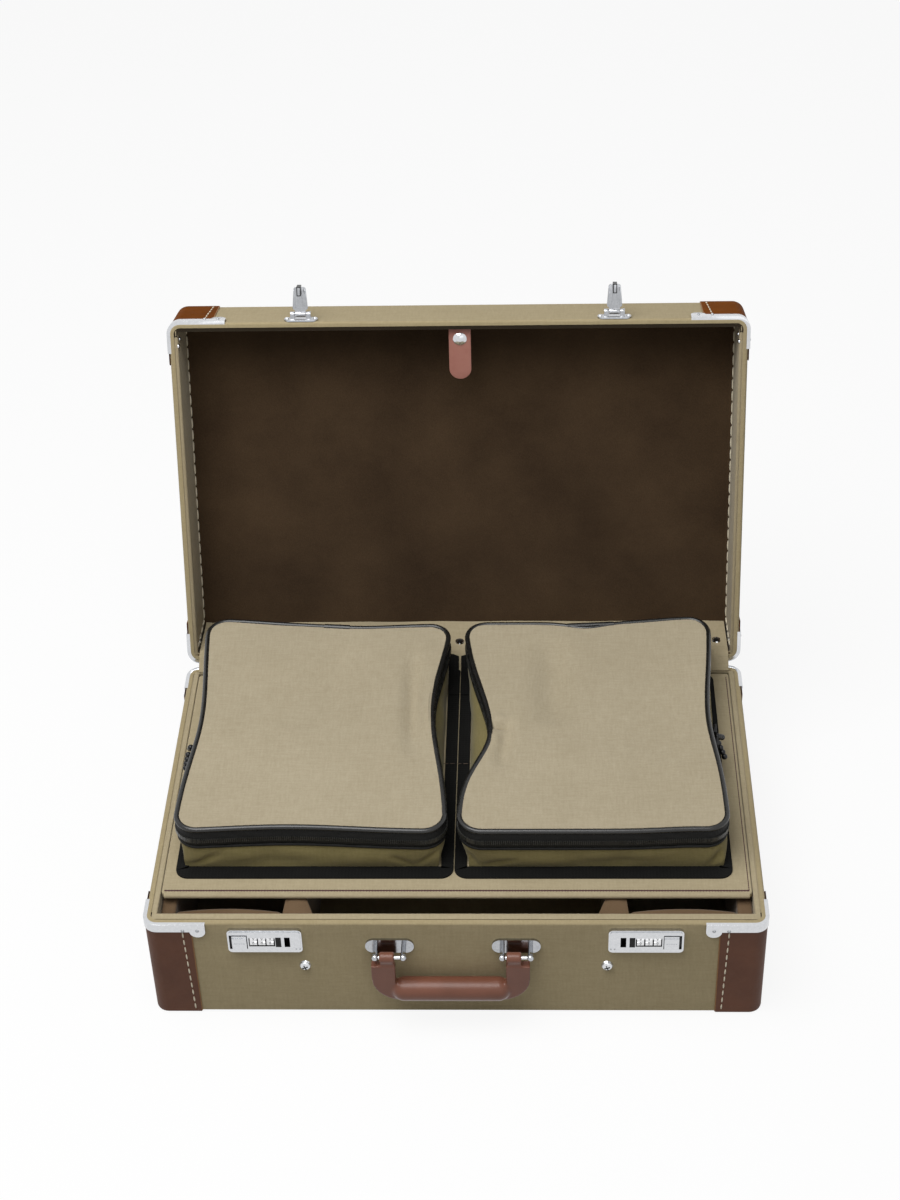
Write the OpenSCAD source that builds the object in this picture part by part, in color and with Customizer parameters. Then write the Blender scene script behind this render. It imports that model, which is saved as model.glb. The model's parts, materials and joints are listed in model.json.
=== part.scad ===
// Microphone flight case, shown open, in millimetres.
// +X is the case's right, +Y its back and +Z up. The origin is the middle of the footprint,
// on the surface that the leather corners stand on.

/* [Case] */
// Width over the leather corners
case_w = 550; // [500:5:620]
// Depth over the leather corners
case_d = 350; // [320:5:400]
// Height of the base up to its rim
base_h = 115; // [105:1:140]
// Height of the lid from its rim to its top
lid_h = 64; // [62:1:90]
// Angle between the closed lid and the open lid, in degrees
open_angle = 107; // [95:0.5:115]
// Radius of the upright corners
corner_r = 12; // [8:1:18]

/* [Walls] */
// Thickness of the leather corner patches
leather_t = 1.2; // [0.8:0.1:1.6]
// Thickness of the glued canvas
canvas_t = 1.2; // [0.8:0.1:1.6]
// Thickness of the plywood walls
board_t = 4; // [3:0.5:5]
// Thickness of the plywood bottom and top
panel_t = 3.5; // [3:0.5:5]
// Thickness of the padded lining at the front of the base
front_pad = 7.6; // [6:0.1:10]
// Thickness of the padded lining at the sides of the base
side_pad = 5; // [4:0.1:7]
// Thickness of the thin cloth or suede lining elsewhere
thin_pad = 2.4; // [1.6:0.1:3]

/* [Corners] */
// Width of a leather patch on each face
patch_w = 42; // [30:1:50]
// Thickness of the chrome bracket
bracket_t = 0.8; // [0.6:0.1:1.2]
// Height of the bracket's strip below the rim
bracket_h = 9; // [7:0.5:12]
// Length of the bracket along the front or back
bracket_front = 55; // [40:1:60]
// Length of the bracket along the side
bracket_side = 31; // [25:1:45]

/* [Locks] */
// Distance of each lock's middle from the middle of the case
lock_x = 168; // [150:0.5:185]
// Height of each lock's middle
lock_z = 96; // [90:0.5:100]
// Width of the lock plate
lock_w = 66; // [60:1:72]
// Height of the lock plate
lock_h = 27.6; // [24:0.2:29]
// Radius of a number dial
dial_r = 6.5; // [6:0.1:6.8]
// Travel of the thumb slide
slide_travel = 2; // [1:0.5:2]
// Length of the hasp from its pivot
hasp_len = 26; // [25.5:0.5:29]

/* [Handle] */
// Width of the handle over its corners
handle_w = 140; // [130:1:160]
// Radius of the leather grip
grip_r = 11; // [9:0.5:12]
// Height of the middle of the grip
grip_z = 47; // [44:1:49]
// Height of the pins that the handle turns on
handle_pin_z = 87; // [84:0.5:90]

/* [Pouches] */
// Width of one pouch over its binding
pouch_w = 252; // [230:1:256]
// Depth of one pouch over its binding
pouch_d = 279.5; // [260:0.5:280]
// Height of one pouch, zipped shut
pouch_h = 55; // [50:0.5:55.5]
// Radius of the pouches' corners
pouch_r = 20; // [14:1:26]
// Number of segments in a full turn
segments = 72; // [36:12:96]

/* [Hidden] */
$fn = segments;
eps = 0.01;
big = 2 * case_w;

// Outer sizes of the layers, from the leather inwards
canvas_w = case_w - 2 * leather_t;
canvas_d = case_d - 2 * leather_t;
board_w = canvas_w - 2 * canvas_t;
board_d = canvas_d - 2 * canvas_t;
hollow_w = board_w - 2 * board_t;
hollow_d = board_d - 2 * board_t;
face_y = -canvas_d / 2;
back_y = canvas_d / 2;
// The wooden edges end this far below the rims, under the brackets' lips
edge_drop = 1;
// The closed lid's rim stays this far above the base's rim
rim_gap = 0.6;
lid_rim_z = base_h + rim_gap;
lid_top_z = lid_rim_z + lid_h;
seam_z = base_h + rim_gap / 2;
sole_h = leather_t + canvas_t;
floor_z = sole_h + panel_t;
floor_pad = 3;
lining_floor_z = floor_z + floor_pad;
// Inner faces of the base's lining
pocket_x = hollow_w / 2 - side_pad;
pocket_front_y = -hollow_d / 2 + front_pad;
pocket_back_y = hollow_d / 2 - thin_pad;
// Foam at the outer side and the front of the two side compartments
foam_t = 14;
foam_front_t = 12;
foam_top_z = 104;

// Surface hinges on the back
hinge_y = 178;
hinge_z = seam_z;
hinge_xs = [-180, 0, 180];
hinge_w = 60;
hinge_leaf_h = 24;
hinge_leaf_t = 1.2;
knuckle_r = 2.9;
hinge_pin_r = 1.4;
knuckle_gap = 0.4;
bearing_gap = 0.05;
// The base takes the outer two knuckles and the lid the middle one
knuckle_split = hinge_w / 6;

// Organiser panel and its dividers, which flare towards the front wall
divider_x = 142.5;
divider_w = 19;
divider_flare = 9.5;
divider_flare_l = 23;
divider_crown_r = 40;
panel_top_z = base_h - 0.2;
panel_board_t = 5.8;
panel_w = 525;
panel_front_y = -137;
panel_back_y = 163.5;
bead_d = 6;
divider_top_z = panel_top_z - panel_board_t - 0.3;

// Pouches stand on the panel with their backs in line
pouch_gap = 0.8;
pouch_mid_x = -2;
pouch_back_y = panel_back_y - 1;
pouch_y = pouch_back_y - pouch_d / 2;
pouch_z = panel_top_z;
pouch_wall = 3;
// The binding is the flat taped seam round the foot of a pouch
binding_w = 12;
binding_t = 2;
zip_h = 16;
zip_z = pouch_z + 47.2;
band_t = 1;
flap_gap = 0.4;
piping_t = 1.2;
piping_h = 3.6;
// From its foot to its top a pouch widens by the first two, leans back by the third and is drawn in at
// its sides: by a waist towards the middle of the case and a slighter one at the outer side
foot_in = 12;
top_in = 5;
lean = 4.5;
waist_left = 17;
waist_right = 26;
waist_outer = 8.5;
waist_left_y = 17;
waist_right_y = -12;
waist_outer_y = 12;
// The waists end this far before the round corners
waist_end = 5;
tray_steps = 4;

// Lock details
lock_plate_t = 4.5;
lock_face_y = face_y - lock_plate_t;
lock_back_y = -hollow_d / 2 + 3.4;
lock_inner_w = 58;
lock_inner_h = 18;
lock_plate_r = 4;
dial_w = 6.2;
dial_pitch = 7.4;
dial_mid_x = lock_x + 2.4;
dial_proud = 1.2;
dial_y = lock_face_y - dial_proud + dial_r;
dial_axle_r = 1.5;
dial_notches = 10;
dial_notch_r = 0.8;
dial_room = 0.4;
slide_w = 13;
slide_h = 16;
slide_t = 3.2;
slide_seat = 1.6;
slide_x = 22.2;
slide_room = 0.5;
slot_x = 20;
slot_w = 5;
slot_h = 12;
slot_back = 1.2;

// Hasps on the lid
hasp_x = lock_x - slot_x;
hasp_pivot_y = lock_face_y - 2.2;
hasp_pivot_z = 120;
hasp_t = 2;
hasp_root_w = 14.4;
hasp_tip_w = 11.6;
hasp_tip_r = 2.4;
hasp_fold = 0.8;
hasp_knuckle_r = 2.5;
hasp_pin_r = 1.1;
hasp_base_w = 32;
hasp_base_h = 12;
hasp_base_t = 2;
staple_w = 3.6;
staple_l = 8.6;
staple_out = 9;

// Handle details
handle_x = -4;
mount_xs = [-58, 54];
loop_x = 56;
mount_w = 43;
mount_h = 16;
mount_up = 1.5;
mount_t = 2.4;
post_gap = 25;
post_r = 2.2;
ball_r = 3.2;
handle_pin_y = -188;
handle_pin_r = 1.6;
loop_w = 13.4;
loop_r = 5.2;
strap_t = 7;
leg_w = 21;
leg_t = 8;
leg_top_z = 79;
outer_bend_r = 26;
inner_bend_r = 13;
roll_half = 42;

// Snap tab that holds the panel up in the lid
tab_x = 2;
tab_w = 21;
tab_l = 53;
tab_t = 2;
tab_tilt = 7;
tab_y = face_y + leather_t + 6.6;
tab_z = lid_rim_z + 6.4;
cap_r = 6.5;
cap_h = 2.6;
cap_down = 12;

// A rounded rectangle about the origin
module plate2d(w, d, r) {
  square([w - 2 * r, d], center = true);
  square([w, d - 2 * r], center = true);
  for (sx = [-1, 1], sy = [-1, 1])
    translate([sx * (w / 2 - r), sy * (d / 2 - r)]) circle(r);
}

// The same outline raised from one height to another
module slab(w, d, r, low, high) {
  translate([0, 0, low]) linear_extrude(high - low) plate2d(w, d, r);
}

// A box given by its lowest and highest corners
module span(low, high) {
  translate(low) cube(high - low);
}

// Round bar along X
module bar_x(x0, x1, y, z, r) {
  translate([x0, y, z]) rotate([0, 90, 0]) cylinder(h = x1 - x0, r = r);
}

// Round bar along Y
module bar_y(x, y0, y1, z, r) {
  translate([x, y1, z]) rotate([90, 0, 0]) cylinder(h = y1 - y0, r = r);
}

// Both sides of the case
module both_sides() {
  children();
  mirror([1, 0, 0]) children();
}

// All four corners of the case
module four_corners() {
  both_sides() {
    children();
    mirror([0, 1, 0]) children();
  }
}

// Turns a base piece over onto the closed lid
module flip_to_lid() {
  translate([0, 0, 2 * seam_z]) mirror([0, 0, 1]) children();
}

// Swings what is modelled on the closed lid to the open lid
module open_lid() {
  translate([0, hinge_y, hinge_z]) rotate([-open_angle, 0, 0])
    translate([0, -hinge_y, -hinge_z]) children();
}

// Space that the lock takes out of the front wall
module lock_pocket() {
  span([lock_x - lock_inner_w / 2, face_y - 1, lock_z - lock_inner_h / 2],
    [lock_x + lock_inner_w / 2, lock_back_y, lock_z + lock_inner_h / 2]);
}

module base_board() {
  color("burlywood") difference() {
    slab(board_w, board_d, corner_r - 2.4, sole_h, base_h - edge_drop);
    slab(hollow_w, hollow_d, corner_r - 6, floor_z, big);
    both_sides() lock_pocket();
    divider_screw_shanks(0.1);
  }
}

module base_canvas() {
  color("darkkhaki") difference() {
    slab(canvas_w, canvas_d, corner_r - 1.2, leather_t, base_h - edge_drop);
    slab(board_w, board_d, corner_r - 2.4, sole_h, big);
    both_sides() lock_pocket();
    divider_screw_shanks(0.1);
    four_corners() sole_room();
  }
}

// Where a leather sole lies, the canvas leaves the wood bare
module sole_room() {
  span([case_w / 2 - patch_w - 0.4, case_d / 2 - patch_w - 0.4, 0],
    [case_w / 2, case_d / 2, sole_h + eps]);
}

// Padded lining with a rolled edge along the front and the sides
module base_lining() {
  roll_r = 3.6;
  side_roll_r = 2.3;
  front_mid = -hollow_d / 2 + front_pad / 2;
  side_mid = hollow_w / 2 - side_pad / 2;
  color("tan") difference() {
    union() {
      difference() {
        slab(hollow_w, hollow_d, corner_r - 6, floor_z, base_h - roll_r);
        span([-pocket_x, pocket_front_y, lining_floor_z], [pocket_x, pocket_back_y, big]);
      }
      bar_x(-side_mid, side_mid, front_mid, base_h - roll_r, roll_r);
      both_sides() bar_y(side_mid, front_mid, hollow_d / 2 - 4, base_h - roll_r, side_roll_r);
    }
    both_sides() lock_pocket();
    divider_screw_shanks(0.1);
  }
}

// Leather folded round one upright edge, without its sole
module leather_wrap(low, high) {
  intersection() {
    difference() {
      slab(case_w, case_d, corner_r, low, high);
      slab(canvas_w, canvas_d, corner_r - 1.2, low - 1, high + 1);
    }
    span([case_w / 2 - patch_w, case_d / 2 - patch_w, low - 1], [case_w, case_d, high + 1]);
  }
}

module leather_sole(low, high) {
  intersection() {
    slab(case_w, case_d, corner_r, low, high);
    span([case_w / 2 - patch_w, case_d / 2 - patch_w, low - 1], [case_w, case_d, high + 1]);
  }
}

module base_corner_leather() {
  color("saddlebrown") four_corners() leather_wrap(sole_h, base_h - 2);
}

module base_corner_soles() {
  color("saddlebrown") four_corners() leather_sole(0, sole_h);
}

// Chrome bracket over one corner of the base's rim: a strip, a lip and a round lobe on each leg
module corner_bracket() {
  lobe_r = 7;
  lobe_z = base_h - 8.5;
  lip = 5.6;
  out_w = case_w + 2 * bracket_t;
  out_d = case_d + 2 * bracket_t;
  difference() {
    union() {
      intersection() {
        slab(out_w, out_d, corner_r + bracket_t, base_h - bracket_h, base_h);
        union() {
          span([case_w / 2 - bracket_front, case_d / 2 - lip, 0], [case_w, case_d, big]);
          span([case_w / 2 - lip, case_d / 2 - bracket_side, 0], [case_w, case_d, big]);
        }
      }
      bar_y(case_w / 2 - bracket_front + lobe_r, case_d / 2 - 1, out_d / 2, lobe_z, lobe_r);
      bar_x(case_w / 2 - 1, out_w / 2, case_d / 2 - bracket_side + lobe_r, lobe_z, lobe_r);
    }
    slab(case_w, case_d, corner_r, 0, base_h - edge_drop);
    span([case_w / 2 - bracket_front - lobe_r, 0, base_h - edge_drop - eps],
      [case_w / 2 - corner_r, case_d / 2 - lip, big]);
  }
}

module corner_nails() {
  nail_r = 1.7;
  nail_h = 1;
  out_w = case_w / 2 + bracket_t;
  out_d = case_d / 2 + bracket_t;
  for (x = [7, 20]) translate([case_w / 2 - bracket_front + x, out_d, base_h - 7.5])
    rotate([-90, 0, 0]) cylinder(h = nail_h, r1 = nail_r, r2 = nail_r * 0.5, $fn = 24);
  translate([out_w, case_d / 2 - bracket_side + 7, base_h - 7.5])
    rotate([0, 90, 0]) cylinder(h = nail_h, r1 = nail_r, r2 = nail_r * 0.5, $fn = 24);
}

module base_corner_brackets() {
  color("silver") four_corners() corner_bracket();
}

module base_bracket_nails() {
  color("silver") four_corners() corner_nails();
}

// Suede-covered foam blocks at the outer side and the front of the two side compartments
module compartment_foam() {
  seat = 0.2;
  side_in_x = pocket_x - foam_t;
  front_in_x = divider_x + divider_w / 2 + 2 + 2 * seat;
  color("saddlebrown") both_sides() {
    span([side_in_x, pocket_front_y + seat, lining_floor_z],
      [pocket_x - seat, pocket_back_y - seat, foam_top_z]);
    span([front_in_x, pocket_front_y + seat, lining_floor_z],
      [side_in_x - seat, pocket_front_y + foam_front_t, foam_top_z]);
  }
}

// Padded partition on the right, with a crowned top and a flare where it meets the front wall
module divider() {
  front_y = pocket_front_y + 0.3;
  back_y = pocket_back_y - 0.3;
  half = divider_w / 2;
  intersection() {
    translate([divider_x, 0, lining_floor_z]) linear_extrude(divider_top_z - lining_floor_z)
      polygon([[-half, back_y], [-half, front_y + divider_flare_l], [-half - divider_flare, front_y],
        [half + 2, front_y], [half, front_y + divider_flare_l], [half, back_y]]);
    translate([divider_x, back_y, 0]) rotate([90, 0, 0]) linear_extrude(back_y - front_y) union() {
      translate([0, divider_top_z - divider_crown_r]) circle(divider_crown_r);
      translate([-divider_w, lining_floor_z]) square([2 * divider_w, divider_top_z - lining_floor_z - 12]);
    }
  }
}

module divider_left() {
  color("saddlebrown") difference() {
    mirror([1, 0, 0]) divider();
    divider_screw_shanks(0.1);
  }
}

module divider_right() {
  color("saddlebrown") difference() {
    divider();
    divider_screw_shanks(0.1);
  }
}

// Binding screws through the front wall into the dividers
screw_x = 134.5;
screw_z = 62;
screw_r = 2;
screw_head_r = 5.5;

module divider_screw_shanks(room) {
  both_sides() bar_y(screw_x, face_y - 0.5, pocket_front_y + 14, screw_z, screw_r + room);
}

module divider_screws() {
  dome_h = 4;
  dome_r = (screw_head_r * screw_head_r + dome_h * dome_h) / (2 * dome_h);
  slot_half = 3.4;
  slot_deep = 1.6;
  color("silver") both_sides() {
    bar_y(screw_x, face_y - 1, pocket_front_y + 13.5, screw_z, screw_r);
    difference() {
      intersection() {
        translate([screw_x, face_y - dome_h + dome_r, screw_z]) sphere(dome_r);
        bar_y(screw_x, face_y - dome_h, face_y, screw_z, screw_head_r);
      }
      for (arms = [[slot_half, 0.55], [0.55, slot_half]])
        span([screw_x - arms[0], face_y - dome_h - 1, screw_z - arms[1]],
          [screw_x + arms[0], face_y - dome_h + slot_deep, screw_z + arms[1]]);
    }
  }
}

// Right-hand combination lock; the left one is its mirror image
module lock_case() {
  window_h = 5.2;
  face_t = 0.9;
  cavity_h = dial_r + dial_room;
  dials_w = 3 * dial_pitch + 1;
  color("silver") difference() {
    union() {
      translate([lock_x, face_y, lock_z]) rotate([90, 0, 0])
        linear_extrude(lock_plate_t - 1) plate2d(lock_w, lock_h, lock_plate_r);
      translate([lock_x, face_y, lock_z]) rotate([90, 0, 0])
        linear_extrude(lock_plate_t) plate2d(lock_w - 3, lock_h - 3, lock_plate_r - 1.5);
      span([lock_x - lock_inner_w / 2 + 0.2, face_y - 1, lock_z - lock_inner_h / 2 + 0.2],
        [lock_x + lock_inner_w / 2 - 0.2, lock_back_y - 0.2, lock_z + lock_inner_h / 2 - 0.2]);
    }
    span([dial_mid_x - dials_w / 2, lock_face_y - 1, lock_z - window_h],
      [dial_mid_x + dials_w / 2, lock_back_y - 1, lock_z + window_h]);
    span([dial_mid_x - dials_w / 2, lock_face_y + face_t, lock_z - cavity_h],
      [dial_mid_x + dials_w / 2, lock_back_y - 1, lock_z + cavity_h]);
    span([lock_x + slide_x - slide_w / 2 - slide_room, lock_face_y - 1, lock_z - slide_h / 2 - slide_room],
      [lock_x + slide_x + slide_w / 2 + slide_travel + slide_room, lock_face_y + slide_seat,
        lock_z + slide_h / 2 + slide_room]);
    span([lock_x - slot_x - slot_w / 2, lock_face_y - 1, lock_z - slot_h / 2],
      [lock_x - slot_x + slot_w / 2, lock_back_y - slot_back, lock_z + slot_h / 2]);
    bar_x(dial_mid_x - dials_w / 2 - 3, dial_mid_x + dials_w / 2 + 3, dial_y, lock_z, dial_axle_r);
  }
}

module lock_case_right() {
  lock_case();
}

module lock_case_left() {
  mirror([1, 0, 0]) lock_case();
}

module lock_axles() {
  half = 1.5 * dial_pitch + 3.5;
  color("gray") both_sides()
    bar_x(dial_mid_x - half, dial_mid_x + half, dial_y, lock_z, dial_axle_r);
}

// Ribbed thumb slide that lets the hasp go
module lock_slide() {
  front_y = lock_face_y + slide_seat - 0.3 - slide_t;
  color("silver") difference() {
    span([lock_x + slide_x - slide_w / 2, front_y, lock_z - slide_h / 2],
      [lock_x + slide_x + slide_w / 2, lock_face_y + slide_seat - 0.3, lock_z + slide_h / 2]);
    for (k = [-2:2]) bar_y(lock_x + slide_x + 2 * k, front_y - 1, front_y + 0.5, lock_z, 0.7, $fn = 24);
    span([lock_x + slide_x - slide_w, front_y - 1, lock_z + slide_h / 2 - 2],
      [lock_x + slide_x + slide_w, front_y + 0.8, lock_z + slide_h]);
    span([lock_x + slide_x - slide_w, front_y - 1, lock_z - slide_h],
      [lock_x + slide_x + slide_w, front_y + 0.8, lock_z - slide_h / 2 + 2]);
  }
}

module lock_slide_right() {
  lock_slide();
}

module lock_slide_left() {
  mirror([1, 0, 0]) lock_slide();
}

// Number wheel with ten finger notches, numbered 1 to 3 from the slot outwards
module lock_dial(k) {
  x = dial_mid_x + (k - 2) * dial_pitch;
  color("gainsboro") difference() {
    bar_x(x - dial_w / 2, x + dial_w / 2, dial_y, lock_z, dial_r);
    bar_x(x - dial_w, x + dial_w, dial_y, lock_z, dial_axle_r + bearing_gap);
    for (i = [0:dial_notches - 1]) translate([0, dial_y, lock_z])
      rotate([i * 360 / dial_notches + 18, 0, 0])
        bar_x(x - dial_w, x - dial_w / 2 + 1.8, -dial_r - 0.3, 0, dial_notch_r, $fn = 24);
  }
}

module lock_dial_right_1() { lock_dial(1); }
module lock_dial_right_2() { lock_dial(2); }
module lock_dial_right_3() { lock_dial(3); }
module lock_dial_left_1() { mirror([1, 0, 0]) lock_dial(1); }
module lock_dial_left_2() { mirror([1, 0, 0]) lock_dial(2); }
module lock_dial_left_3() { mirror([1, 0, 0]) lock_dial(3); }

// Plates with two ball-ended posts each, screwed to the front wall
module handle_mounts() {
  color("silver") for (x = mount_xs) difference() {
    union() {
      translate([x, face_y, handle_pin_z + mount_up]) rotate([90, 0, 0])
        linear_extrude(mount_t) plate2d(mount_w, mount_h, mount_h / 2 - 0.5);
      for (s = [-1, 1]) {
        bar_y(x + s * post_gap / 2, handle_pin_y, face_y - mount_t + 0.1, handle_pin_z, post_r);
        translate([x + s * post_gap / 2, handle_pin_y, handle_pin_z]) rotate([0, 90, 0])
          rotate_extrude() intersection() {
            circle(ball_r);
            translate([0, -ball_r]) square(2 * ball_r);
          }
      }
    }
    bar_x(x - post_gap, x + post_gap, handle_pin_y, handle_pin_z, handle_pin_r);
  }
}

module handle_pins() {
  color("silver") for (x = mount_xs)
    bar_x(x - post_gap / 2 - 2.4, x + post_gap / 2 + 2.4, handle_pin_y, handle_pin_z, handle_pin_r);
}

// Stitched leather handle: a flat cheek with two legs, a round roll along the grip and a loop on each pin
module handle_grip() {
  cheek_h = 120;
  low_z = grip_z - grip_r;
  color("sienna") translate([handle_x, handle_pin_y, 0]) difference() {
    union() {
      translate([0, leg_t / 2, 0]) rotate([90, 0, 0]) linear_extrude(leg_t) difference() {
        translate([0, low_z + cheek_h / 2]) plate2d(handle_w, cheek_h, outer_bend_r);
        translate([0, grip_z + cheek_h / 2]) plate2d(handle_w - 2 * leg_w, cheek_h, inner_bend_r);
        translate([-handle_w, leg_top_z]) square(2 * handle_w);
      }
      bar_x(-roll_half, roll_half, 0, grip_z, grip_r);
      both_sides() {
        translate([roll_half, 0, grip_z]) sphere(grip_r);
        span([loop_x - loop_w / 2, -strap_t / 2, leg_top_z - 6],
          [loop_x + loop_w / 2, strap_t / 2, handle_pin_z]);
        bar_x(loop_x - loop_w / 2, loop_x + loop_w / 2, 0, handle_pin_z, loop_r);
      }
    }
    bar_x(-handle_w, handle_w, 0, handle_pin_z, handle_pin_r + 0.1);
  }
}

// One hinge leaf below the pin, with its knuckles
module hinge_leaf(x, knuckles) {
  difference() {
    union() {
      span([x - hinge_w / 2, back_y, hinge_z - 5 - hinge_leaf_h],
        [x + hinge_w / 2, back_y + hinge_leaf_t, hinge_z - 3.2]);
      for (k = knuckles) {
        span([x + k[0], back_y, hinge_z - 4], [x + k[1], hinge_y, hinge_z - 0.4]);
        bar_x(x + k[0], x + k[1], hinge_y, hinge_z, knuckle_r);
      }
    }
    bar_x(x - hinge_w, x + hinge_w, hinge_y, hinge_z, hinge_pin_r + bearing_gap);
    for (s = [-1, 1]) bar_y(x + s * hinge_w / 3, back_y - 1, back_y + 3, hinge_z - 20, 1.6);
  }
}

module hinge_base_leaves() {
  outer = [[-hinge_w / 2, -knuckle_split], [knuckle_split, hinge_w / 2]];
  color("silver") for (x = hinge_xs) hinge_leaf(x, outer);
}

module hinge_lid_leaves() {
  inner = [[-knuckle_split + knuckle_gap, knuckle_split - knuckle_gap]];
  color("silver") open_lid() flip_to_lid() for (x = hinge_xs) hinge_leaf(x, inner);
}

module hinge_pins() {
  color("silver") for (x = hinge_xs)
    bar_x(x - hinge_w / 2, x + hinge_w / 2, hinge_y, hinge_z, hinge_pin_r);
}

// Cloth that closes the gap between the panel's back edge and the lid
gusset_w = 516;
gusset_path = [[167.5, 116.4], [179, 126], [184, 127.2], [212, 124.6], [239, 121.2]];
gusset_t = 1.2;
eyelet_y = 212;
eyelet_xs = [-248, 0, 248];

module hinge_gusset() {
  up = [for (p = gusset_path) [p[0], p[1] + gusset_t]];
  back = [for (i = [len(up) - 1:-1:0]) up[i]];
  color("tan") difference() {
    translate([-gusset_w / 2, 0, 0]) rotate([90, 0, 90])
      linear_extrude(gusset_w) polygon(concat(gusset_path, back));
    for (x = eyelet_xs) translate([x, eyelet_y, 100]) cylinder(h = 50, r = 3.2);
  }
}

module gusset_eyelets() {
  color("dimgray") for (x = eyelet_xs) translate([x, eyelet_y, 123.2]) difference() {
    cylinder(h = 4.2, r = 3.1);
    translate([0, 0, -1]) cylinder(h = 8, r = 2);
  }
}

module lid_board() {
  color("burlywood") open_lid() difference() {
    slab(board_w, board_d, corner_r - 2.4, lid_rim_z + edge_drop, lid_top_z - sole_h);
    slab(hollow_w, hollow_d, corner_r - 6, 0, lid_top_z - sole_h - panel_t);
  }
}

module lid_canvas() {
  color("darkkhaki") open_lid() difference() {
    slab(canvas_w, canvas_d, corner_r - 1.2, lid_rim_z + edge_drop, lid_top_z - leather_t);
    slab(board_w, board_d, corner_r - 2.4, 0, lid_top_z - sole_h);
  }
}

// Suede on the lid's top, front and back walls
suede_t = 1.2;

module lid_lining() {
  ceiling = lid_top_z - sole_h - panel_t;
  color("#34271b") open_lid() difference() {
    slab(hollow_w - 2 * thin_pad - 0.2, hollow_d, 3, lid_rim_z + edge_drop, ceiling);
    span([-case_w, -hollow_d / 2 + suede_t, 0], [case_w, hollow_d / 2 - suede_t, ceiling - suede_t]);
  }
}

// Padded cloth on the lid's side walls
module lid_side_lining() {
  ceiling = lid_top_z - sole_h - panel_t;
  color("tan") open_lid() both_sides()
    span([hollow_w / 2 - thin_pad, -hollow_d / 2 + 6, lid_rim_z + 0.3],
      [hollow_w / 2, hollow_d / 2 - 6, ceiling]);
}

module lid_corner_leather() {
  color("saddlebrown") open_lid() four_corners() {
    leather_wrap(lid_rim_z + 2, lid_top_z - leather_t);
    leather_sole(lid_top_z - leather_t, lid_top_z);
  }
}

module lid_corner_brackets() {
  color("silver") open_lid() flip_to_lid() four_corners() corner_bracket();
}

module lid_bracket_nails() {
  color("silver") open_lid() flip_to_lid() four_corners() corner_nails();
}

// Plates on the lid's front wall that carry the hasps on two ears
module hasp_bases() {
  ear_in = 5.3;
  ear_out = 9.8;
  color("silver") open_lid() both_sides() {
    translate([hasp_x, face_y, hasp_pivot_z + 2]) rotate([90, 0, 0])
      linear_extrude(hasp_base_t) plate2d(hasp_base_w, hasp_base_h, hasp_base_h / 2 - 0.5);
    for (s = [-1, 1]) {
      span([hasp_x + s * (ear_in + ear_out) / 2 - (ear_out - ear_in) / 2, hasp_pivot_y,
        hasp_pivot_z - hasp_knuckle_r + 0.3],
        [hasp_x + s * (ear_in + ear_out) / 2 + (ear_out - ear_in) / 2, face_y - hasp_base_t + 0.1,
        hasp_pivot_z + hasp_knuckle_r - 0.3]);
      bar_x(hasp_x + s * (ear_in + ear_out) / 2 - (ear_out - ear_in) / 2,
        hasp_x + s * (ear_in + ear_out) / 2 + (ear_out - ear_in) / 2,
        hasp_pivot_y, hasp_pivot_z, hasp_knuckle_r);
    }
    bar_x(hasp_x - ear_in - 0.5, hasp_x + ear_in + 0.5, hasp_pivot_y, hasp_pivot_z, hasp_pin_r);
  }
}

// Right-hand hasp, standing straight out of the lid's front wall. Its long edges are folded and its
// middle is raised towards the knuckle.
module hasp() {
  knuckle_half = 5;
  neck_l = 3.4;
  root_l = 5.6;
  tip_y = hasp_pivot_y - hasp_len;
  tip_half = hasp_tip_w / 2;
  loop_y = hasp_pivot_y - (hasp_pivot_z - lock_z);
  low_z = hasp_pivot_z - hasp_t / 2;
  color("silver") open_lid() difference() {
    union() {
      translate([hasp_x, 0, low_z]) linear_extrude(hasp_t) {
        polygon([[-knuckle_half, hasp_pivot_y], [knuckle_half, hasp_pivot_y],
          [knuckle_half, hasp_pivot_y - neck_l], [hasp_root_w / 2, hasp_pivot_y - root_l],
          [tip_half, tip_y + hasp_tip_r], [tip_half - hasp_tip_r, tip_y],
          [hasp_tip_r - tip_half, tip_y], [-tip_half, tip_y + hasp_tip_r],
          [-hasp_root_w / 2, hasp_pivot_y - root_l], [-knuckle_half, hasp_pivot_y - neck_l]]);
        for (s = [-1, 1]) translate([s * (tip_half - hasp_tip_r), tip_y + hasp_tip_r]) circle(hasp_tip_r);
      }
      for (s = [-1, 1]) span([hasp_x + s * (tip_half - 0.7) - 0.7, tip_y + hasp_tip_r, low_z - hasp_fold],
        [hasp_x + s * (tip_half - 0.7) + 0.7, hasp_pivot_y - root_l, hasp_pivot_z]);
      translate([hasp_x, 0, low_z - 0.6 * hasp_fold]) linear_extrude(hasp_t)
        polygon([[-1.6, loop_y + staple_l / 2], [1.6, loop_y + staple_l / 2],
          [3, hasp_pivot_y - root_l], [-3, hasp_pivot_y - root_l]]);
      bar_x(hasp_x - knuckle_half, hasp_x + knuckle_half, hasp_pivot_y, hasp_pivot_z,
        hasp_knuckle_r);
      span([hasp_x - staple_w / 2, loop_y - staple_l / 2, low_z - staple_out],
        [hasp_x + staple_w / 2, loop_y + staple_l / 2, hasp_pivot_z]);
    }
    bar_x(hasp_x - 20, hasp_x + 20, hasp_pivot_y, hasp_pivot_z, hasp_pin_r + bearing_gap);
    bar_x(hasp_x - 5, hasp_x + 5, loop_y, low_z - staple_out + 4.6, 2.4);
  }
}

module hasp_right() {
  hasp();
}

module hasp_left() {
  mirror([1, 0, 0]) hasp();
}

// Places a piece along the tab: local -Y runs down the tab, local -Z faces the closed base
module on_tab() {
  open_lid() translate([tab_x, tab_y, tab_z]) rotate([tab_tilt, 0, 0]) children();
}

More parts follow.
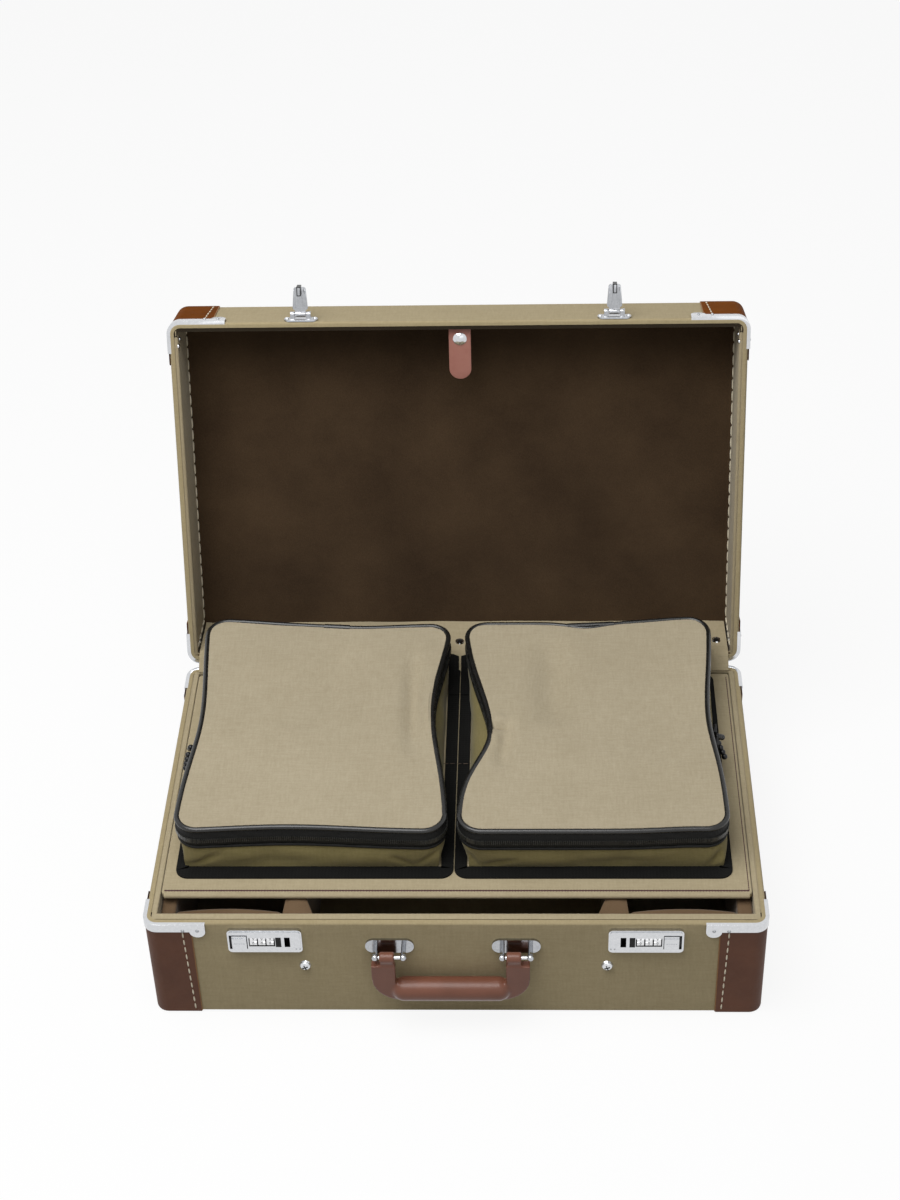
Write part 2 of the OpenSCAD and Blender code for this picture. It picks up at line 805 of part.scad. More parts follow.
module snap_tab() {
  color("sienna") on_tab() linear_extrude(tab_t) {
    translate([-tab_w / 2, 0]) square([tab_w, tab_l - tab_w / 2]);
    translate([0, tab_l - tab_w / 2]) circle(tab_w / 2);
  }
}

module snap_cap() {
  dome_r = 10;
  color("silver") on_tab() intersection() {
    translate([0, cap_down, dome_r - cap_h]) sphere(dome_r);
    translate([0, cap_down, -cap_h]) cylinder(h = cap_h, r = cap_r);
  }
}

module panel_board() {
  color("tan") translate([0, (panel_front_y + panel_back_y) / 2, panel_top_z - panel_board_t])
    linear_extrude(panel_board_t) plate2d(panel_w, panel_back_y - panel_front_y, 3);
}

// Rolled edge along the panel's front
module panel_bead() {
  mid_y = panel_front_y - bead_d / 2;
  low_z = panel_top_z - panel_board_t;
  color("tan") {
    bar_x(-panel_w / 2 + 2, panel_w / 2 - 2, mid_y, panel_top_z - bead_d / 2 + 0.4, bead_d / 2);
    span([-panel_w / 2 + 2, mid_y - bead_d / 2 + 0.4, low_z],
      [panel_w / 2 - 2, panel_front_y, panel_top_z - 2]);
  }
}

// A round cut that draws one side of a pouch in by a waist: the side's x, and the waist's place along it
function waist_r(waist, half_chord) = (half_chord * half_chord + waist * waist) / (2 * waist);

module waist_cut(x, y, waist, half_d, inset) {
  r = waist_r(waist, half_d - pouch_r - waist_end - abs(y));
  translate([sign(x) * (abs(x) - waist + r), y]) circle(r + inset, $fn = 180);
}

// Outline of a pouch about the middle of its foot. Its share of the height runs from 0 to 1.
module pouch_outline(side, inset, share = 1) {
  side_in = foot_in + (top_in - foot_in) * share;
  waist = (side < 0 ? waist_left : waist_right) * share;
  waist_y = side < 0 ? waist_left_y : waist_right_y;
  w = pouch_w - 2 * side_in;
  d = pouch_d - 2 * side_in;
  translate([0, lean * share]) difference() {
    plate2d(w - 2 * inset, d - 2 * inset, pouch_r - inset);
    if (share > 0) {
      waist_cut(-side * w / 2, waist_y, waist, d / 2, inset);
      waist_cut(side * w / 2, waist_outer_y, waist_outer * share, d / 2, inset);
    }
  }
}

module at_pouch(side, z) {
  translate([pouch_mid_x + side * (pouch_w + pouch_gap) / 2, pouch_y, z]) children();
}

// Open cloth tray whose walls lean out to the zip in steps, with a deeper waist at each
module pouch_tray(side) {
  step_h = (zip_z - zip_h - pouch_z) / tray_steps;
  color("tan") difference() {
    union() {
      for (k = [0:tray_steps - 1]) at_pouch(side, pouch_z + k * step_h) linear_extrude(step_h)
        pouch_outline(side, 0, k / tray_steps);
      at_pouch(side, zip_z - zip_h) linear_extrude(zip_h) pouch_outline(side, band_t);
    }
    for (k = [0:tray_steps - 1]) at_pouch(side, pouch_z + max(k * step_h, pouch_wall))
      linear_extrude(step_h + eps - (k == 0 ? pouch_wall : 0))
        intersection() {
          pouch_outline(side, pouch_wall, k / tray_steps);
          pouch_outline(side, pouch_wall, (k + 1) / tray_steps);
        }
    at_pouch(side, zip_z - zip_h) linear_extrude(zip_h + eps) intersection() {
      pouch_outline(side, band_t + pouch_wall);
      pouch_outline(side, pouch_wall, 1 - 1 / tray_steps);
    }
  }
}

// Flat taped seam round the foot
module pouch_binding(side) {
  color("#2a2a2a") at_pouch(side, pouch_z) linear_extrude(binding_t) difference() {
    plate2d(pouch_w, pouch_d, pouch_r);
    pouch_outline(side, 0, 0);
  }
}

module pouch_zip(side) {
  color("#2a2a2a") at_pouch(side, zip_z - zip_h) linear_extrude(zip_h) difference() {
    pouch_outline(side, 0);
    pouch_outline(side, band_t);
  }
}

module pouch_flap(side) {
  low = zip_z + flap_gap;
  top = pouch_z + pouch_h;
  color("tan") difference() {
    at_pouch(side, low) linear_extrude(top - low) pouch_outline(side, 0.5);
    at_pouch(side, low - 1) linear_extrude(top - low + 1 - pouch_wall)
      pouch_outline(side, 0.5 + pouch_wall);
  }
}

module pouch_piping(side) {
  color("#2a2a2a") at_pouch(side, pouch_z + pouch_h - piping_h) linear_extrude(piping_h)
    difference() {
      pouch_outline(side, -piping_t);
      pouch_outline(side, 0.5);
    }
}

module pouch_tray_left() { pouch_tray(-1); }
module pouch_tray_right() { pouch_tray(1); }
module pouch_binding_left() { pouch_binding(-1); }
module pouch_binding_right() { pouch_binding(1); }
module pouch_zip_left() { pouch_zip(-1); }
module pouch_zip_right() { pouch_zip(1); }
module pouch_flap_left() { pouch_flap(-1); }
module pouch_flap_right() { pouch_flap(1); }
module pouch_piping_left() { pouch_piping(-1); }
module pouch_piping_right() { pouch_piping(1); }

// How far the outer side of a pouch's top is drawn in at a place along it
function outer_in(y) =
  let (half_chord = pouch_d / 2 - top_in - pouch_r - waist_end - waist_outer_y,
    r = waist_r(waist_outer, half_chord), off = min(abs(y - pouch_y - lean - waist_outer_y), half_chord))
  waist_outer - r + sqrt(r * r - off * off);

// Slider on the zip at the pouch's outer side, with its pull hanging down
module zip_slider(side, y) {
  gap = 1;
  body_l = 11;
  body_h = 9;
  body_z = zip_z - 12.5;
  pull_l = 24;
  outer_x = pouch_w / 2 - top_in - outer_in(y) + gap;
  color("#1c1c1c") at_pouch(side, 0) translate([0, y - pouch_y, 0]) scale([side, 1, 1]) {
    span([outer_x, -body_l / 2, body_z], [outer_x + 3, body_l / 2, body_z + body_h]);
    difference() {
      span([outer_x + 1.2, -3.5, body_z - pull_l + 6], [outer_x + 2.8, 3.5, body_z + 0.1]);
      bar_x(outer_x, outer_x + 5, 0, body_z - pull_l + 10, 2);
    }
  }
}

slider_left_ys = [20, 2];
slider_right_ys = [34, 16];

module zip_slider_left_rear() { zip_slider(-1, slider_left_ys[0]); }
module zip_slider_left_front() { zip_slider(-1, slider_left_ys[1]); }
module zip_slider_right_rear() { zip_slider(1, slider_right_ys[0]); }
module zip_slider_right_front() { zip_slider(1, slider_right_ys[1]); }

base_board();
base_canvas();
base_lining();
base_corner_leather();
base_corner_soles();
base_corner_brackets();
base_bracket_nails();
compartment_foam();
divider_left();
divider_right();
divider_screws();
lock_case_left();
lock_case_right();
lock_axles();
lock_slide_left();
lock_slide_right();
lock_dial_left_1();
lock_dial_left_2();
lock_dial_left_3();
lock_dial_right_1();
lock_dial_right_2();
lock_dial_right_3();
handle_mounts();
handle_pins();
handle_grip();
hinge_base_leaves();
hinge_pins();
hinge_gusset();
gusset_eyelets();
lid_board();
lid_canvas();
lid_lining();
lid_side_lining();
lid_corner_leather();
lid_corner_brackets();
lid_bracket_nails();
hinge_lid_leaves();
hasp_bases();
hasp_left();
hasp_right();
snap_tab();
snap_cap();
panel_board();
panel_bead();
pouch_tray_left();
pouch_tray_right();
pouch_binding_left();
pouch_binding_right();
pouch_zip_left();
pouch_zip_right();
pouch_flap_left();
pouch_flap_right();
pouch_piping_left();
pouch_piping_right();
zip_slider_left_rear();
zip_slider_left_front();
zip_slider_right_rear();
zip_slider_right_front();
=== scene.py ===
import json
import math

import bmesh
import bpy
from mathutils import Matrix, Vector, noise


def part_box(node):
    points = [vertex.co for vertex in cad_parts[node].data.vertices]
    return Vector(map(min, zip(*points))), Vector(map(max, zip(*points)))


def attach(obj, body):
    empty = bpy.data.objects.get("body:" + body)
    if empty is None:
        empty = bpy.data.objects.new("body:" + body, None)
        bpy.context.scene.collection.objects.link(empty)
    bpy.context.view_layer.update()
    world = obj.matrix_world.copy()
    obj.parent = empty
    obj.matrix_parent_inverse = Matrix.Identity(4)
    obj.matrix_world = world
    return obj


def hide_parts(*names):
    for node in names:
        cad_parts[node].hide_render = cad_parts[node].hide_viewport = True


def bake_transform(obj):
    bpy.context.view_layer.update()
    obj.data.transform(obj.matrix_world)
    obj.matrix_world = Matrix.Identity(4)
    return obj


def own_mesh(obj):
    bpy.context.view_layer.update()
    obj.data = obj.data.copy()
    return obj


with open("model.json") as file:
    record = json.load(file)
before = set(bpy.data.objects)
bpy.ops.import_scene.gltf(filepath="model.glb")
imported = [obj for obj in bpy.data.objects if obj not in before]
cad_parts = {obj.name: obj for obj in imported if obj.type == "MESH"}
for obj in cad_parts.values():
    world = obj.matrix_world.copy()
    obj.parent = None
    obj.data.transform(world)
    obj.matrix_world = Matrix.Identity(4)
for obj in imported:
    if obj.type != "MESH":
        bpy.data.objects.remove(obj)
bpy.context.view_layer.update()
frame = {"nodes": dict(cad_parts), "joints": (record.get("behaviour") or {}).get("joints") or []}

# Canvas of the base and the lid: waxed cotton canvas glued over a plywood box in one piece, with its
# edge turned over the rim. It is cut out of the front wall where the two locks are let in.
CASE_W = 0.550
CASE_D = 0.350
LEATHER_T = 0.0012
CORNER_R = 0.012
RIM_Z = 0.115
RIM_OVER = 0.0002
RIM_ROUND = 0.0024
BOTTOM_ROUND = 0.0016
CANVAS_T = 0.0010
LOCK_PLATE_RIM = Vector((0.0042, 0, 0.0048))
RIM_TURN_IN = 0.0024
GROOVE_DEEP = 0.0014
canvas_x = CASE_W / 2 - LEATHER_T
canvas_y = CASE_D / 2 - LEATHER_T

lid_hinge = next(joint for joint in frame["joints"] if joint["name"] == "lid_hinge")
hinge_axis = Vector(lid_hinge["pos_m"])
open_angle = math.radians(-lid_hinge["range_deg"][0])
lid_turn = Matrix.Rotation(-open_angle, 4, "X")
open_lid = Matrix.Translation(hinge_axis) @ lid_turn @ Matrix.Translation(-hinge_axis)
flip_over = Matrix.Translation((0, 0, 2 * hinge_axis.z)) @ Matrix.Diagonal((1, 1, -1, 1))
lid_rise = 0.064 - RIM_Z


def linear(hex_colour):
    """Linear colour of an sRGB hex value."""
    shares = [int(hex_colour[i:i + 2], 16) / 255 for i in (1, 3, 5)]
    return [s / 12.92 if s <= 0.04045 else ((s + 0.055) / 1.055) ** 2.4 for s in shares] + [1]


def new_material(name):
    """Empty node material."""
    material = bpy.data.materials.new(name)
    material.use_nodes = True
    material.node_tree.nodes.clear()
    return material


def add(material, kind, sockets=(), **settings):
    """Adds one node with its settings, its values and its links. A node as a value gives its first output."""
    made = material.node_tree.nodes.new("ShaderNode" + kind)
    for name, value in settings.items():
        setattr(made, name, value)
    for socket, value in dict(sockets).items():
        if isinstance(value, bpy.types.Node):
            value = value.outputs[0]
        if isinstance(value, bpy.types.NodeSocket):
            material.node_tree.links.new(value, made.inputs[socket])
        else:
            made.inputs[socket].default_value = value
    return made


def pattern_place(material, turn=0.0):
    """Where a pattern lies on its piece. On the open lid it is turned with the lid."""
    place = add(material, "TexCoord").outputs["Object"]
    return add(material, "Mapping", {"Vector": place, "Rotation": (turn, 0, 0)})


def close_material(material, share, dark, light, shader_sockets):
    """Colours a material between dark and light, and puts the shader and the output on it."""
    colour = add(material, "Mix", {0: share, 6: linear(dark), 7: linear(light)}, data_type="RGBA")
    shader = add(material, "BsdfPrincipled", {"Base Color": colour.outputs[2], **shader_sockets})
    add(material, "OutputMaterial", {"Surface": shader})
    return material


def woven_cloth(name, dark, light, thread, turn=0.0, mottle=0.35):
    """Plain-woven cotton: a fine grid of threads with thick and thin places, and slow changes of tone.
    The real threads lie about 0.6 mm apart, too fine to show, so they are drawn twice as coarse."""
    cloth = new_material(name)
    place = pattern_place(cloth, turn)
    weave = 0.0
    streaks = 0.0
    for i, axis in enumerate("XYZ"):
        band = add(cloth, "TexWave", {"Vector": place, "Scale": 2 * math.pi / 20 / thread, "Distortion": 1.2,
                                      "Detail": 1, "Detail Scale": 0.4}, bands_direction=axis)
        weave = add(cloth, "Math", {0: weave, 1: band.outputs["Fac"]}, operation="ADD")
        stretch = [1 / thread / 1.6] * 3
        stretch[i] = 1 / thread / 14
        along = add(cloth, "Mapping", {"Vector": place, "Scale": stretch})
        slub = add(cloth, "TexNoise", {"Vector": along, "Scale": 1, "Detail": 3, "Roughness": 0.6})
        streaks = add(cloth, "Math", {0: streaks, 1: slub}, operation="ADD")
    cloud = add(cloth, "TexNoise", {"Vector": place, "Scale": 14, "Detail": 4, "Roughness": 0.6})
    tone = add(cloth, "Math", {0: streaks, 1: 0.55, 2: -0.42}, operation="MULTIPLY_ADD")
    fine = add(cloth, "Math", {0: weave, 1: 0.035, 2: tone}, operation="MULTIPLY_ADD")
    slow = add(cloth, "Math", {0: cloud, 1: mottle, 2: -0.5 * mottle}, operation="MULTIPLY_ADD")
    share = add(cloth, "Math", {0: fine, 1: slow}, operation="ADD", use_clamp=True)
    height = add(cloth, "Math", {0: weave, 1: streaks}, operation="ADD")
    bump = add(cloth, "Bump", {"Height": height, "Strength": 0.35, "Distance": 0.0002})
    return close_material(cloth, share, dark, light, {
        "Roughness": 0.85, "Sheen Weight": 0.12, "Sheen Roughness": 0.5, "Specular IOR Level": 0.15,
        "Normal": bump})


def add_block(bm, middle, size, lie=Matrix()):
    """Adds a block around its middle, turned the way it lies."""
    bmesh.ops.create_cube(bm, size=1, matrix=Matrix.Translation(middle) @ lie @ Matrix.Diagonal((*size, 1)))


def box_between(low, high):
    """Box from its lowest to its highest corner."""
    bm = bmesh.new()
    add_block(bm, (Vector(high) + Vector(low)) / 2, Vector(high) - Vector(low))
    return bm


def edges_along(bm, axis):
    """Edges that run along one axis."""
    return [e for e in bm.edges if abs((e.verts[1].co - e.verts[0].co).normalized()[axis]) > 0.999]


def edges_at(bm, z):
    """Edges that lie at one height."""
    return [e for e in bm.edges if all(abs(v.co.z - z) < 1e-6 for v in e.verts)]


def round_edges(bm, edges, radius, segments):
    """Rounds edges off to a radius."""
    bmesh.ops.bevel(bm, geom=edges, offset=radius, offset_type="OFFSET", segments=segments,
                    profile=0.5, affect="EDGES", material=-1, clamp_overlap=True)


def cut_across(bm, faces, place, normal):
    """Cuts some faces along a plane, and leaves both sides."""
    parts = set(faces)
    for f in faces:
        parts.update(f.edges)
        parts.update(f.verts)
    bmesh.ops.bisect_plane(bm, geom=list(parts), plane_co=place, plane_no=normal)


def cut_off(bm, place, normal):
    """Cuts along a plane and removes what lies behind it."""
    bmesh.ops.bisect_plane(bm, geom=bm.verts[:] + bm.edges[:] + bm.faces[:], plane_co=place,
                           plane_no=normal, clear_inner=True)


def drop_faces(bm, faces):
    """Deletes faces, with the edges and points that only they use."""
    bmesh.ops.delete(bm, geom=faces, context="FACES")


def inside_out(bm):
    """Turns all the faces round."""
    bmesh.ops.reverse_faces(bm, faces=bm.faces[:])


def onto_lid(bm):
    """Turns a piece that is shaped as for the base over onto the open lid."""
    bm.transform(open_lid @ flip_over)
    inside_out(bm)


def as_mesh(name, bm):
    """Mesh data of a finished bmesh."""
    mesh = bpy.data.meshes.new(name)
    bm.to_mesh(mesh)
    bm.free()
    return mesh


def linked(name, data):
    """Puts an object with its data in the scene."""
    made = bpy.data.objects.new(name, data)
    bpy.context.scene.collection.objects.link(made)
    return made


def make_piece(name, bm, material, body=None, replaced=(), crease=40):
    """Turns a bmesh into a finished object on its body."""
    mesh = as_mesh(name, bm)
    mesh.shade_smooth()
    mesh.set_sharp_from_angle(angle=math.radians(crease))
    mesh.materials.append(material)
    piece = linked(name, mesh)
    if body:
        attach(piece, body)
    for node in replaced:
        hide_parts(node)
    return piece


def shade_evenly(piece):
    """Lets the large flat faces set the shading, and their rounded edges follow."""
    piece.modifiers.new("even_shading", "WEIGHTED_NORMAL").keep_sharp = True
    return piece


def thicken(piece, thickness, offset=-1):
    """Gives a sheet its thickness, inwards unless told otherwise."""
    wall = piece.modifiers.new("thickness", "SOLIDIFY")
    wall.thickness = thickness
    wall.offset = offset
    return shade_evenly(piece)


def canvas_box(low, rim):
    """Canvas over an open box, with its edge turned over the rim and down into the groove."""
    bm = box_between((-canvas_x, -canvas_y, low), (canvas_x, canvas_y, rim))
    round_edges(bm, edges_along(bm, 2), CORNER_R - LEATHER_T, 8)
    round_edges(bm, edges_at(bm, low), BOTTOM_ROUND, 3)
    round_edges(bm, edges_at(bm, rim), RIM_ROUND, 4)
    top = [f for f in bm.faces if f.normal.z > 0.99]
    bmesh.ops.inset_region(bm, faces=top, thickness=RIM_TURN_IN, use_even_offset=True)
    folded = bmesh.ops.extrude_face_region(bm, geom=top)["geom"]
    bmesh.ops.translate(bm, vec=(0, 0, -GROOVE_DEEP),
                        verts=[v for v in folded if isinstance(v, bmesh.types.BMVert)])
    inner = [f for f in bm.faces if f.normal.z > 0.99 and f.calc_center_median().z < rim - 0.5 * GROOVE_DEEP]
    drop_faces(bm, inner + top)
    return bm


def cut_window(bm, low, high):
    """Cuts a rectangle out of the front wall."""
    for place, normal in ((low, (1, 0, 0)), (high, (1, 0, 0)), (low, (0, 0, 1)), (high, (0, 0, 1))):
        cut_across(bm, [f for f in bm.faces if f.normal.y < -0.99], place, normal)
    hole = []
    for f in bm.faces:
        c = f.calc_center_median()
        if f.normal.y < -0.99 and low.x < c.x < high.x and low.z < c.z < high.z:
            hole.append(f)
    drop_faces(bm, hole)


base_canvas_cloth = woven_cloth("waxed_cotton_canvas", "#958765", "#B0A180", 0.0012, mottle=0.3)
lid_canvas_cloth = woven_cloth("waxed_cotton_canvas_lid", "#958765", "#B0A180", 0.0012, turn=open_angle,
                               mottle=0.3)

base_skin = canvas_box(LEATHER_T, RIM_Z + RIM_OVER)
for node in ("lock_case_left", "lock_case_right"):
    lock_low, lock_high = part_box(node)
    cut_window(base_skin, lock_low + LOCK_PLATE_RIM, lock_high - LOCK_PLATE_RIM)
thicken(make_piece("base_canvas_skin", base_skin, base_canvas_cloth, "case_base",
                   ["base_canvas"]), CANVAS_T)

lid_skin = canvas_box(LEATHER_T - lid_rise, RIM_Z + RIM_OVER)
onto_lid(lid_skin)
thicken(make_piece("lid_canvas_skin", lid_skin, lid_canvas_cloth, "lid",
                   ["lid_canvas"]), CANVAS_T)

# Corner patches: vegetable-tanned leather folded round each upright edge and under the corner,
# glued down and sewn along its long edges with waxed cream thread.
PATCH_W = 0.042
STITCH_IN = 0.0062
STITCH_PITCH = 0.0092
STITCH_L = 0.0074
STITCH_R = 0.0008
STITCH_SLANT = 0.0013
RAW_EDGE_W = 0.0009
SEW_LOW = 0.004
SEW_TOP = 0.106
BASE_LEATHER_TOP = 0.1138
PATCH_FOOT_ROUND = 0.0022
LEATHER_GRAIN = 0.0016


def smooth_leather(name, dark, light, turn=0.0, rough=0.42, coat=0.1, gloss=0.22):
    """Dyed full-grain leather: a close pebbled grain with soft lighter clouds and a low waxed sheen."""
    leather = new_material(name)
    place = pattern_place(leather, turn)
    pores = add(leather, "TexVoronoi", {"Vector": place, "Scale": 1 / LEATHER_GRAIN, "Randomness": 1.0},
                feature="SMOOTH_F1")
    creases = add(leather, "TexNoise", {"Vector": place, "Scale": 0.35 / LEATHER_GRAIN, "Detail": 6,
                                        "Roughness": 0.65, "Distortion": 0.4})
    clouds = add(leather, "TexNoise", {"Vector": place, "Scale": 22, "Detail": 5, "Roughness": 0.62})
    share = add(leather, "Math", {0: clouds, 1: 1.5, 2: -0.25}, operation="MULTIPLY_ADD", use_clamp=True)
    height = add(leather, "Math", {0: pores, 1: 0.6, 2: creases}, operation="MULTIPLY_ADD")
    bump = add(leather, "Bump", {"Height": height, "Strength": 0.35, "Distance": 0.0003})
    uneven = add(leather, "Math", {0: creases, 1: 0.25, 2: rough - 0.12}, operation="MULTIPLY_ADD")
    return close_material(leather, share, dark, light, {
        "Roughness": uneven, "Specular IOR Level": gloss, "Coat Weight": coat, "Coat Roughness": 0.3,
        "Normal": bump})


def twisted_thread(name, dark, light):
    """Waxed linen thread: a twisted cord, a little darker in its twist."""
    thread = new_material(name)
    twist = add(thread, "TexNoise", {"Vector": pattern_place(thread), "Scale": 1400, "Detail": 2})
    return close_material(thread, twist, dark, light, {"Roughness": 0.7, "Sheen Weight": 0.1})


def sew(bm, start, end, normal, pitch=STITCH_PITCH, length=STITCH_L, radius=STITCH_R):
    """A row of stitches lying on a surface, each a short rounded bar."""
    start, end, normal = Vector(start), Vector(end), Vector(normal).normalized()
    count = max(1, round((end - start).length / pitch))
    along = (end - start).normalized()
    across = along.cross(normal)
    lie = Matrix((along, across, normal)).transposed().to_4x4()
    flat = Matrix.Diagonal((length / 2, radius, radius * 0.8, 1))
    for i in range(count):
        middle = start.lerp(end, (i + 0.5) / count)
        bmesh.ops.create_uvsphere(bm, u_segments=6, v_segments=5, radius=1,
                                  matrix=Matrix.Translation(middle) @ lie @ flat)


def leather_patch(low, top):
    """Patch of the right rear corner, sewn or glued over the canvas."""
    bm = box_between((-CASE_W / 2, -CASE_D / 2, low), (CASE_W / 2, CASE_D / 2, top))
    round_edges(bm, edges_along(bm, 2), CORNER_R, 8)
    round_edges(bm, edges_at(bm, low), PATCH_FOOT_ROUND, 3)
    cut_off(bm, (CASE_W / 2 - PATCH_W, 0, 0), (1, 0, 0))
    cut_off(bm, (0, CASE_D / 2 - PATCH_W, 0), (0, 1, 0))
    drop_faces(bm, [f for f in bm.faces if f.normal.z > 0.99])
    return bm


def four_corners(bm):
    """Repeats a right rear corner piece at the other three corners."""
    for normal in ((1, 0, 0), (0, 1, 0)):
        flip = Matrix.Diagonal([-1 if n else 1 for n in normal] + [1])
        copied = bmesh.ops.duplicate(bm, geom=bm.verts[:] + bm.edges[:] + bm.faces[:])["geom"]
        bmesh.ops.transform(bm, matrix=flip, verts=[v for v in copied if isinstance(v, bmesh.types.BMVert)])
        bmesh.ops.reverse_faces(bm, faces=[f for f in copied if isinstance(f, bmesh.types.BMFace)])


front_leather = smooth_leather("waxed_leather_dark", "#4F3123", "#684331", rough=0.55, coat=0.0)
lid_leather = smooth_leather("waxed_leather_tan", "#512804", "#784006", turn=open_angle, rough=0.62, coat=0.0,
                             gloss=0.02)
cream_thread = twisted_thread("waxed_thread_cream", "#B9AE93", "#E8E0CB")

base_patches = leather_patch(0, BASE_LEATHER_TOP)
four_corners(base_patches)
thicken(make_piece("base_corner_patches", base_patches, front_leather, "case_base",
                   ["base_corner_leather", "base_corner_soles"]), LEATHER_T)
lid_patches = leather_patch(-lid_rise, BASE_LEATHER_TOP)
four_corners(lid_patches)
onto_lid(lid_patches)
thicken(make_piece("lid_corner_patches", lid_patches, lid_leather, "lid",
                   ["lid_corner_leather"]), LEATHER_T)

patch_x = CASE_W / 2 - PATCH_W
patch_y = CASE_D / 2 - PATCH_W
stitch_x = patch_x + STITCH_IN
stitch_y = patch_y + STITCH_IN
base_sewing = bmesh.new()
lid_sewing = bmesh.new()
for sx in (-1, 1):
    for sy in (-1, 1):
        for bm, low in ((base_sewing, SEW_LOW), (lid_sewing, SEW_LOW - lid_rise)):
            sew(bm, (sx * (stitch_x - STITCH_SLANT), sy * CASE_D / 2, low),
                (sx * (stitch_x + STITCH_SLANT), sy * CASE_D / 2, SEW_TOP), (0, sy, 0))
            sew(bm, (sx * CASE_W / 2, sy * stitch_y, low),
                (sx * CASE_W / 2, sy * stitch_y, SEW_TOP), (sx, 0, 0))
onto_lid(lid_sewing)
make_piece("base_patch_stitches", base_sewing, cream_thread, "case_base")
make_piece("lid_patch_stitches", lid_sewing, cream_thread, "lid")

# Raw cut edges of the patches, where the undyed leather shows as a thin lighter line down both long
# sides of each patch.
RAW_EDGE_LOW = 0.002
RAW_EDGE_TOP = BASE_LEATHER_TOP - 0.001
RAW_EDGE_SUNK = 0.0008
RAW_EDGE_OUT = 0.0002
raw_leather = smooth_leather("undyed_leather_edge", "#7B5534", "#94704A", rough=0.6, coat=0.0)


def join(whole, part):
    """Adds a second bmesh to the first."""
    whole.from_mesh(as_mesh("part", part))


for name, body, low in (("base_patch_edges", "case_base", RAW_EDGE_LOW),
                        ("lid_patch_edges", "lid", RAW_EDGE_LOW - lid_rise)):
    raw = box_between((patch_x - RAW_EDGE_W, CASE_D / 2 - RAW_EDGE_SUNK, low),
                      (patch_x, CASE_D / 2 - RAW_EDGE_OUT, RAW_EDGE_TOP))
    join(raw, box_between((CASE_W / 2 - RAW_EDGE_SUNK, patch_y - RAW_EDGE_W, low),
                          (CASE_W / 2 - RAW_EDGE_OUT, patch_y, RAW_EDGE_TOP)))
    four_corners(raw)
    if body == "lid":
        onto_lid(raw)
    make_piece(name, raw, raw_leather, body)

# Plywood box of the base and the lid: birch plywood, finger-jointed and glued. It only shows at its
# edges, under the chrome and inside the lining's seams.


def birch_plywood():
    """Birch plywood: pale long grain, with thin darker plies on its edges."""
    wood = new_material("birch_plywood")
    lengthwise = add(wood, "Mapping", {"Vector": pattern_place(wood), "Scale": (18, 300, 300)})
    grain = add(wood, "TexNoise", {"Vector": lengthwise, "Scale": 1, "Detail": 5})
    return close_material(wood, grain, "#A88355", "#D3B182", {"Roughness": 0.6})


def finish_node(name, material):
    """Gives a CAD node its real material."""
    node = frame["nodes"][name]
    node.data.materials.clear()
    node.data.materials.append(material)


plywood = birch_plywood()
for name in ("base_board", "lid_board"):
    finish_node(name, plywood)

# Lining of the base: thin felt padding under khaki cotton, rolled over a cord along the rim and
# tacked down inside. Behind it the box is one tray that the dividers part.
LINING_ROLL = 0.0033
SIDE_ROLL = 0.0014
lining_low, lining_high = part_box("base_lining")
POCKET_X = 0.2636
POCKET_FRONT_Y = -0.1610
POCKET_BACK_Y = 0.1662
POCKET_FLOOR = 0.0089

khaki_cloth = woven_cloth("cotton_lining", "#9A8D70", "#B5A88B", 0.0013)

lining = box_between(lining_low, (lining_high.x, lining_high.y, RIM_Z))
pocket = box_between((-POCKET_X, POCKET_FRONT_Y, POCKET_FLOOR), (POCKET_X, POCKET_BACK_Y, RIM_Z))
inside_out(pocket)
join(lining, pocket)
drop_faces(lining, [f for f in lining.faces if abs(f.calc_center_median().z - RIM_Z) < 1e-6])
bmesh.ops.bridge_loops(lining, edges=edges_at(lining, RIM_Z))
bmesh.ops.recalc_face_normals(lining, faces=lining.faces[:])
rim_edges = edges_at(lining, RIM_Z)
front_rim = [e for e in rim_edges if abs(e.verts[0].co.y - e.verts[1].co.y) < 1e-6 and e.verts[0].co.y < 0]
round_edges(lining, [e for e in rim_edges if e not in front_rim and e.calc_length() > 0.02], SIDE_ROLL, 4)
front_rim = [e for e in lining.edges if e.calc_length() > 0.4 and abs(e.verts[0].co.z - RIM_Z) < 1e-5
             and abs(e.verts[1].co.z - RIM_Z) < 1e-5 and e.verts[0].co.y < 0 and e.calc_face_angle(0) > 0.5]
round_edges(lining, front_rim, LINING_ROLL, 5)
make_piece("base_lining_padded", lining, khaki_cloth, "case_base", ["base_lining"])

# Strips that fill the grooves between the canvas edges and the linings of both rims: khaki cloth all the way
# round, and over it along the front a near-black strip, painted shade of the groove.
SHADE_STRIP_SUNK = 0.0002
GROOVE_X = 0.2712
GROOVE_Y = 0.1712
GROOVE_W = 0.0056
GROOVE_CORNER_R = 0.008
CLOTH_SUNK = 0.0007
STRIP_T = 0.0030
SHADE_STRIP_BACK_Y = -0.1600


def brushed_suede(name, dark, light, turn=0.0):
    """Suede: a short nap without gloss. Where it was stroked the other way it shows lighter clouds."""
    suede = new_material(name)
    place = pattern_place(suede, turn)
    nap = add(suede, "TexNoise", {"Vector": place, "Scale": 700, "Detail": 3, "Roughness": 0.7})
    strokes = add(suede, "TexNoise", {"Vector": place, "Scale": 11, "Detail": 5, "Roughness": 0.58})
    patches = add(suede, "Math", {0: strokes, 1: 1.2, 2: -0.1}, operation="MULTIPLY_ADD", use_clamp=True)
    share = add(suede, "Math", {0: nap, 1: 0.5, 2: patches}, operation="MULTIPLY_ADD")
    share = add(suede, "Math", {0: share, 1: -0.25}, operation="ADD", use_clamp=True)
    bump = add(suede, "Bump", {"Height": nap, "Strength": 0.4, "Distance": 0.0005})
    return close_material(suede, share, dark, light, {
        "Roughness": 0.95, "Sheen Weight": 0.25, "Sheen Roughness": 0.4, "Specular IOR Level": 0.1,
        "Normal": bump})
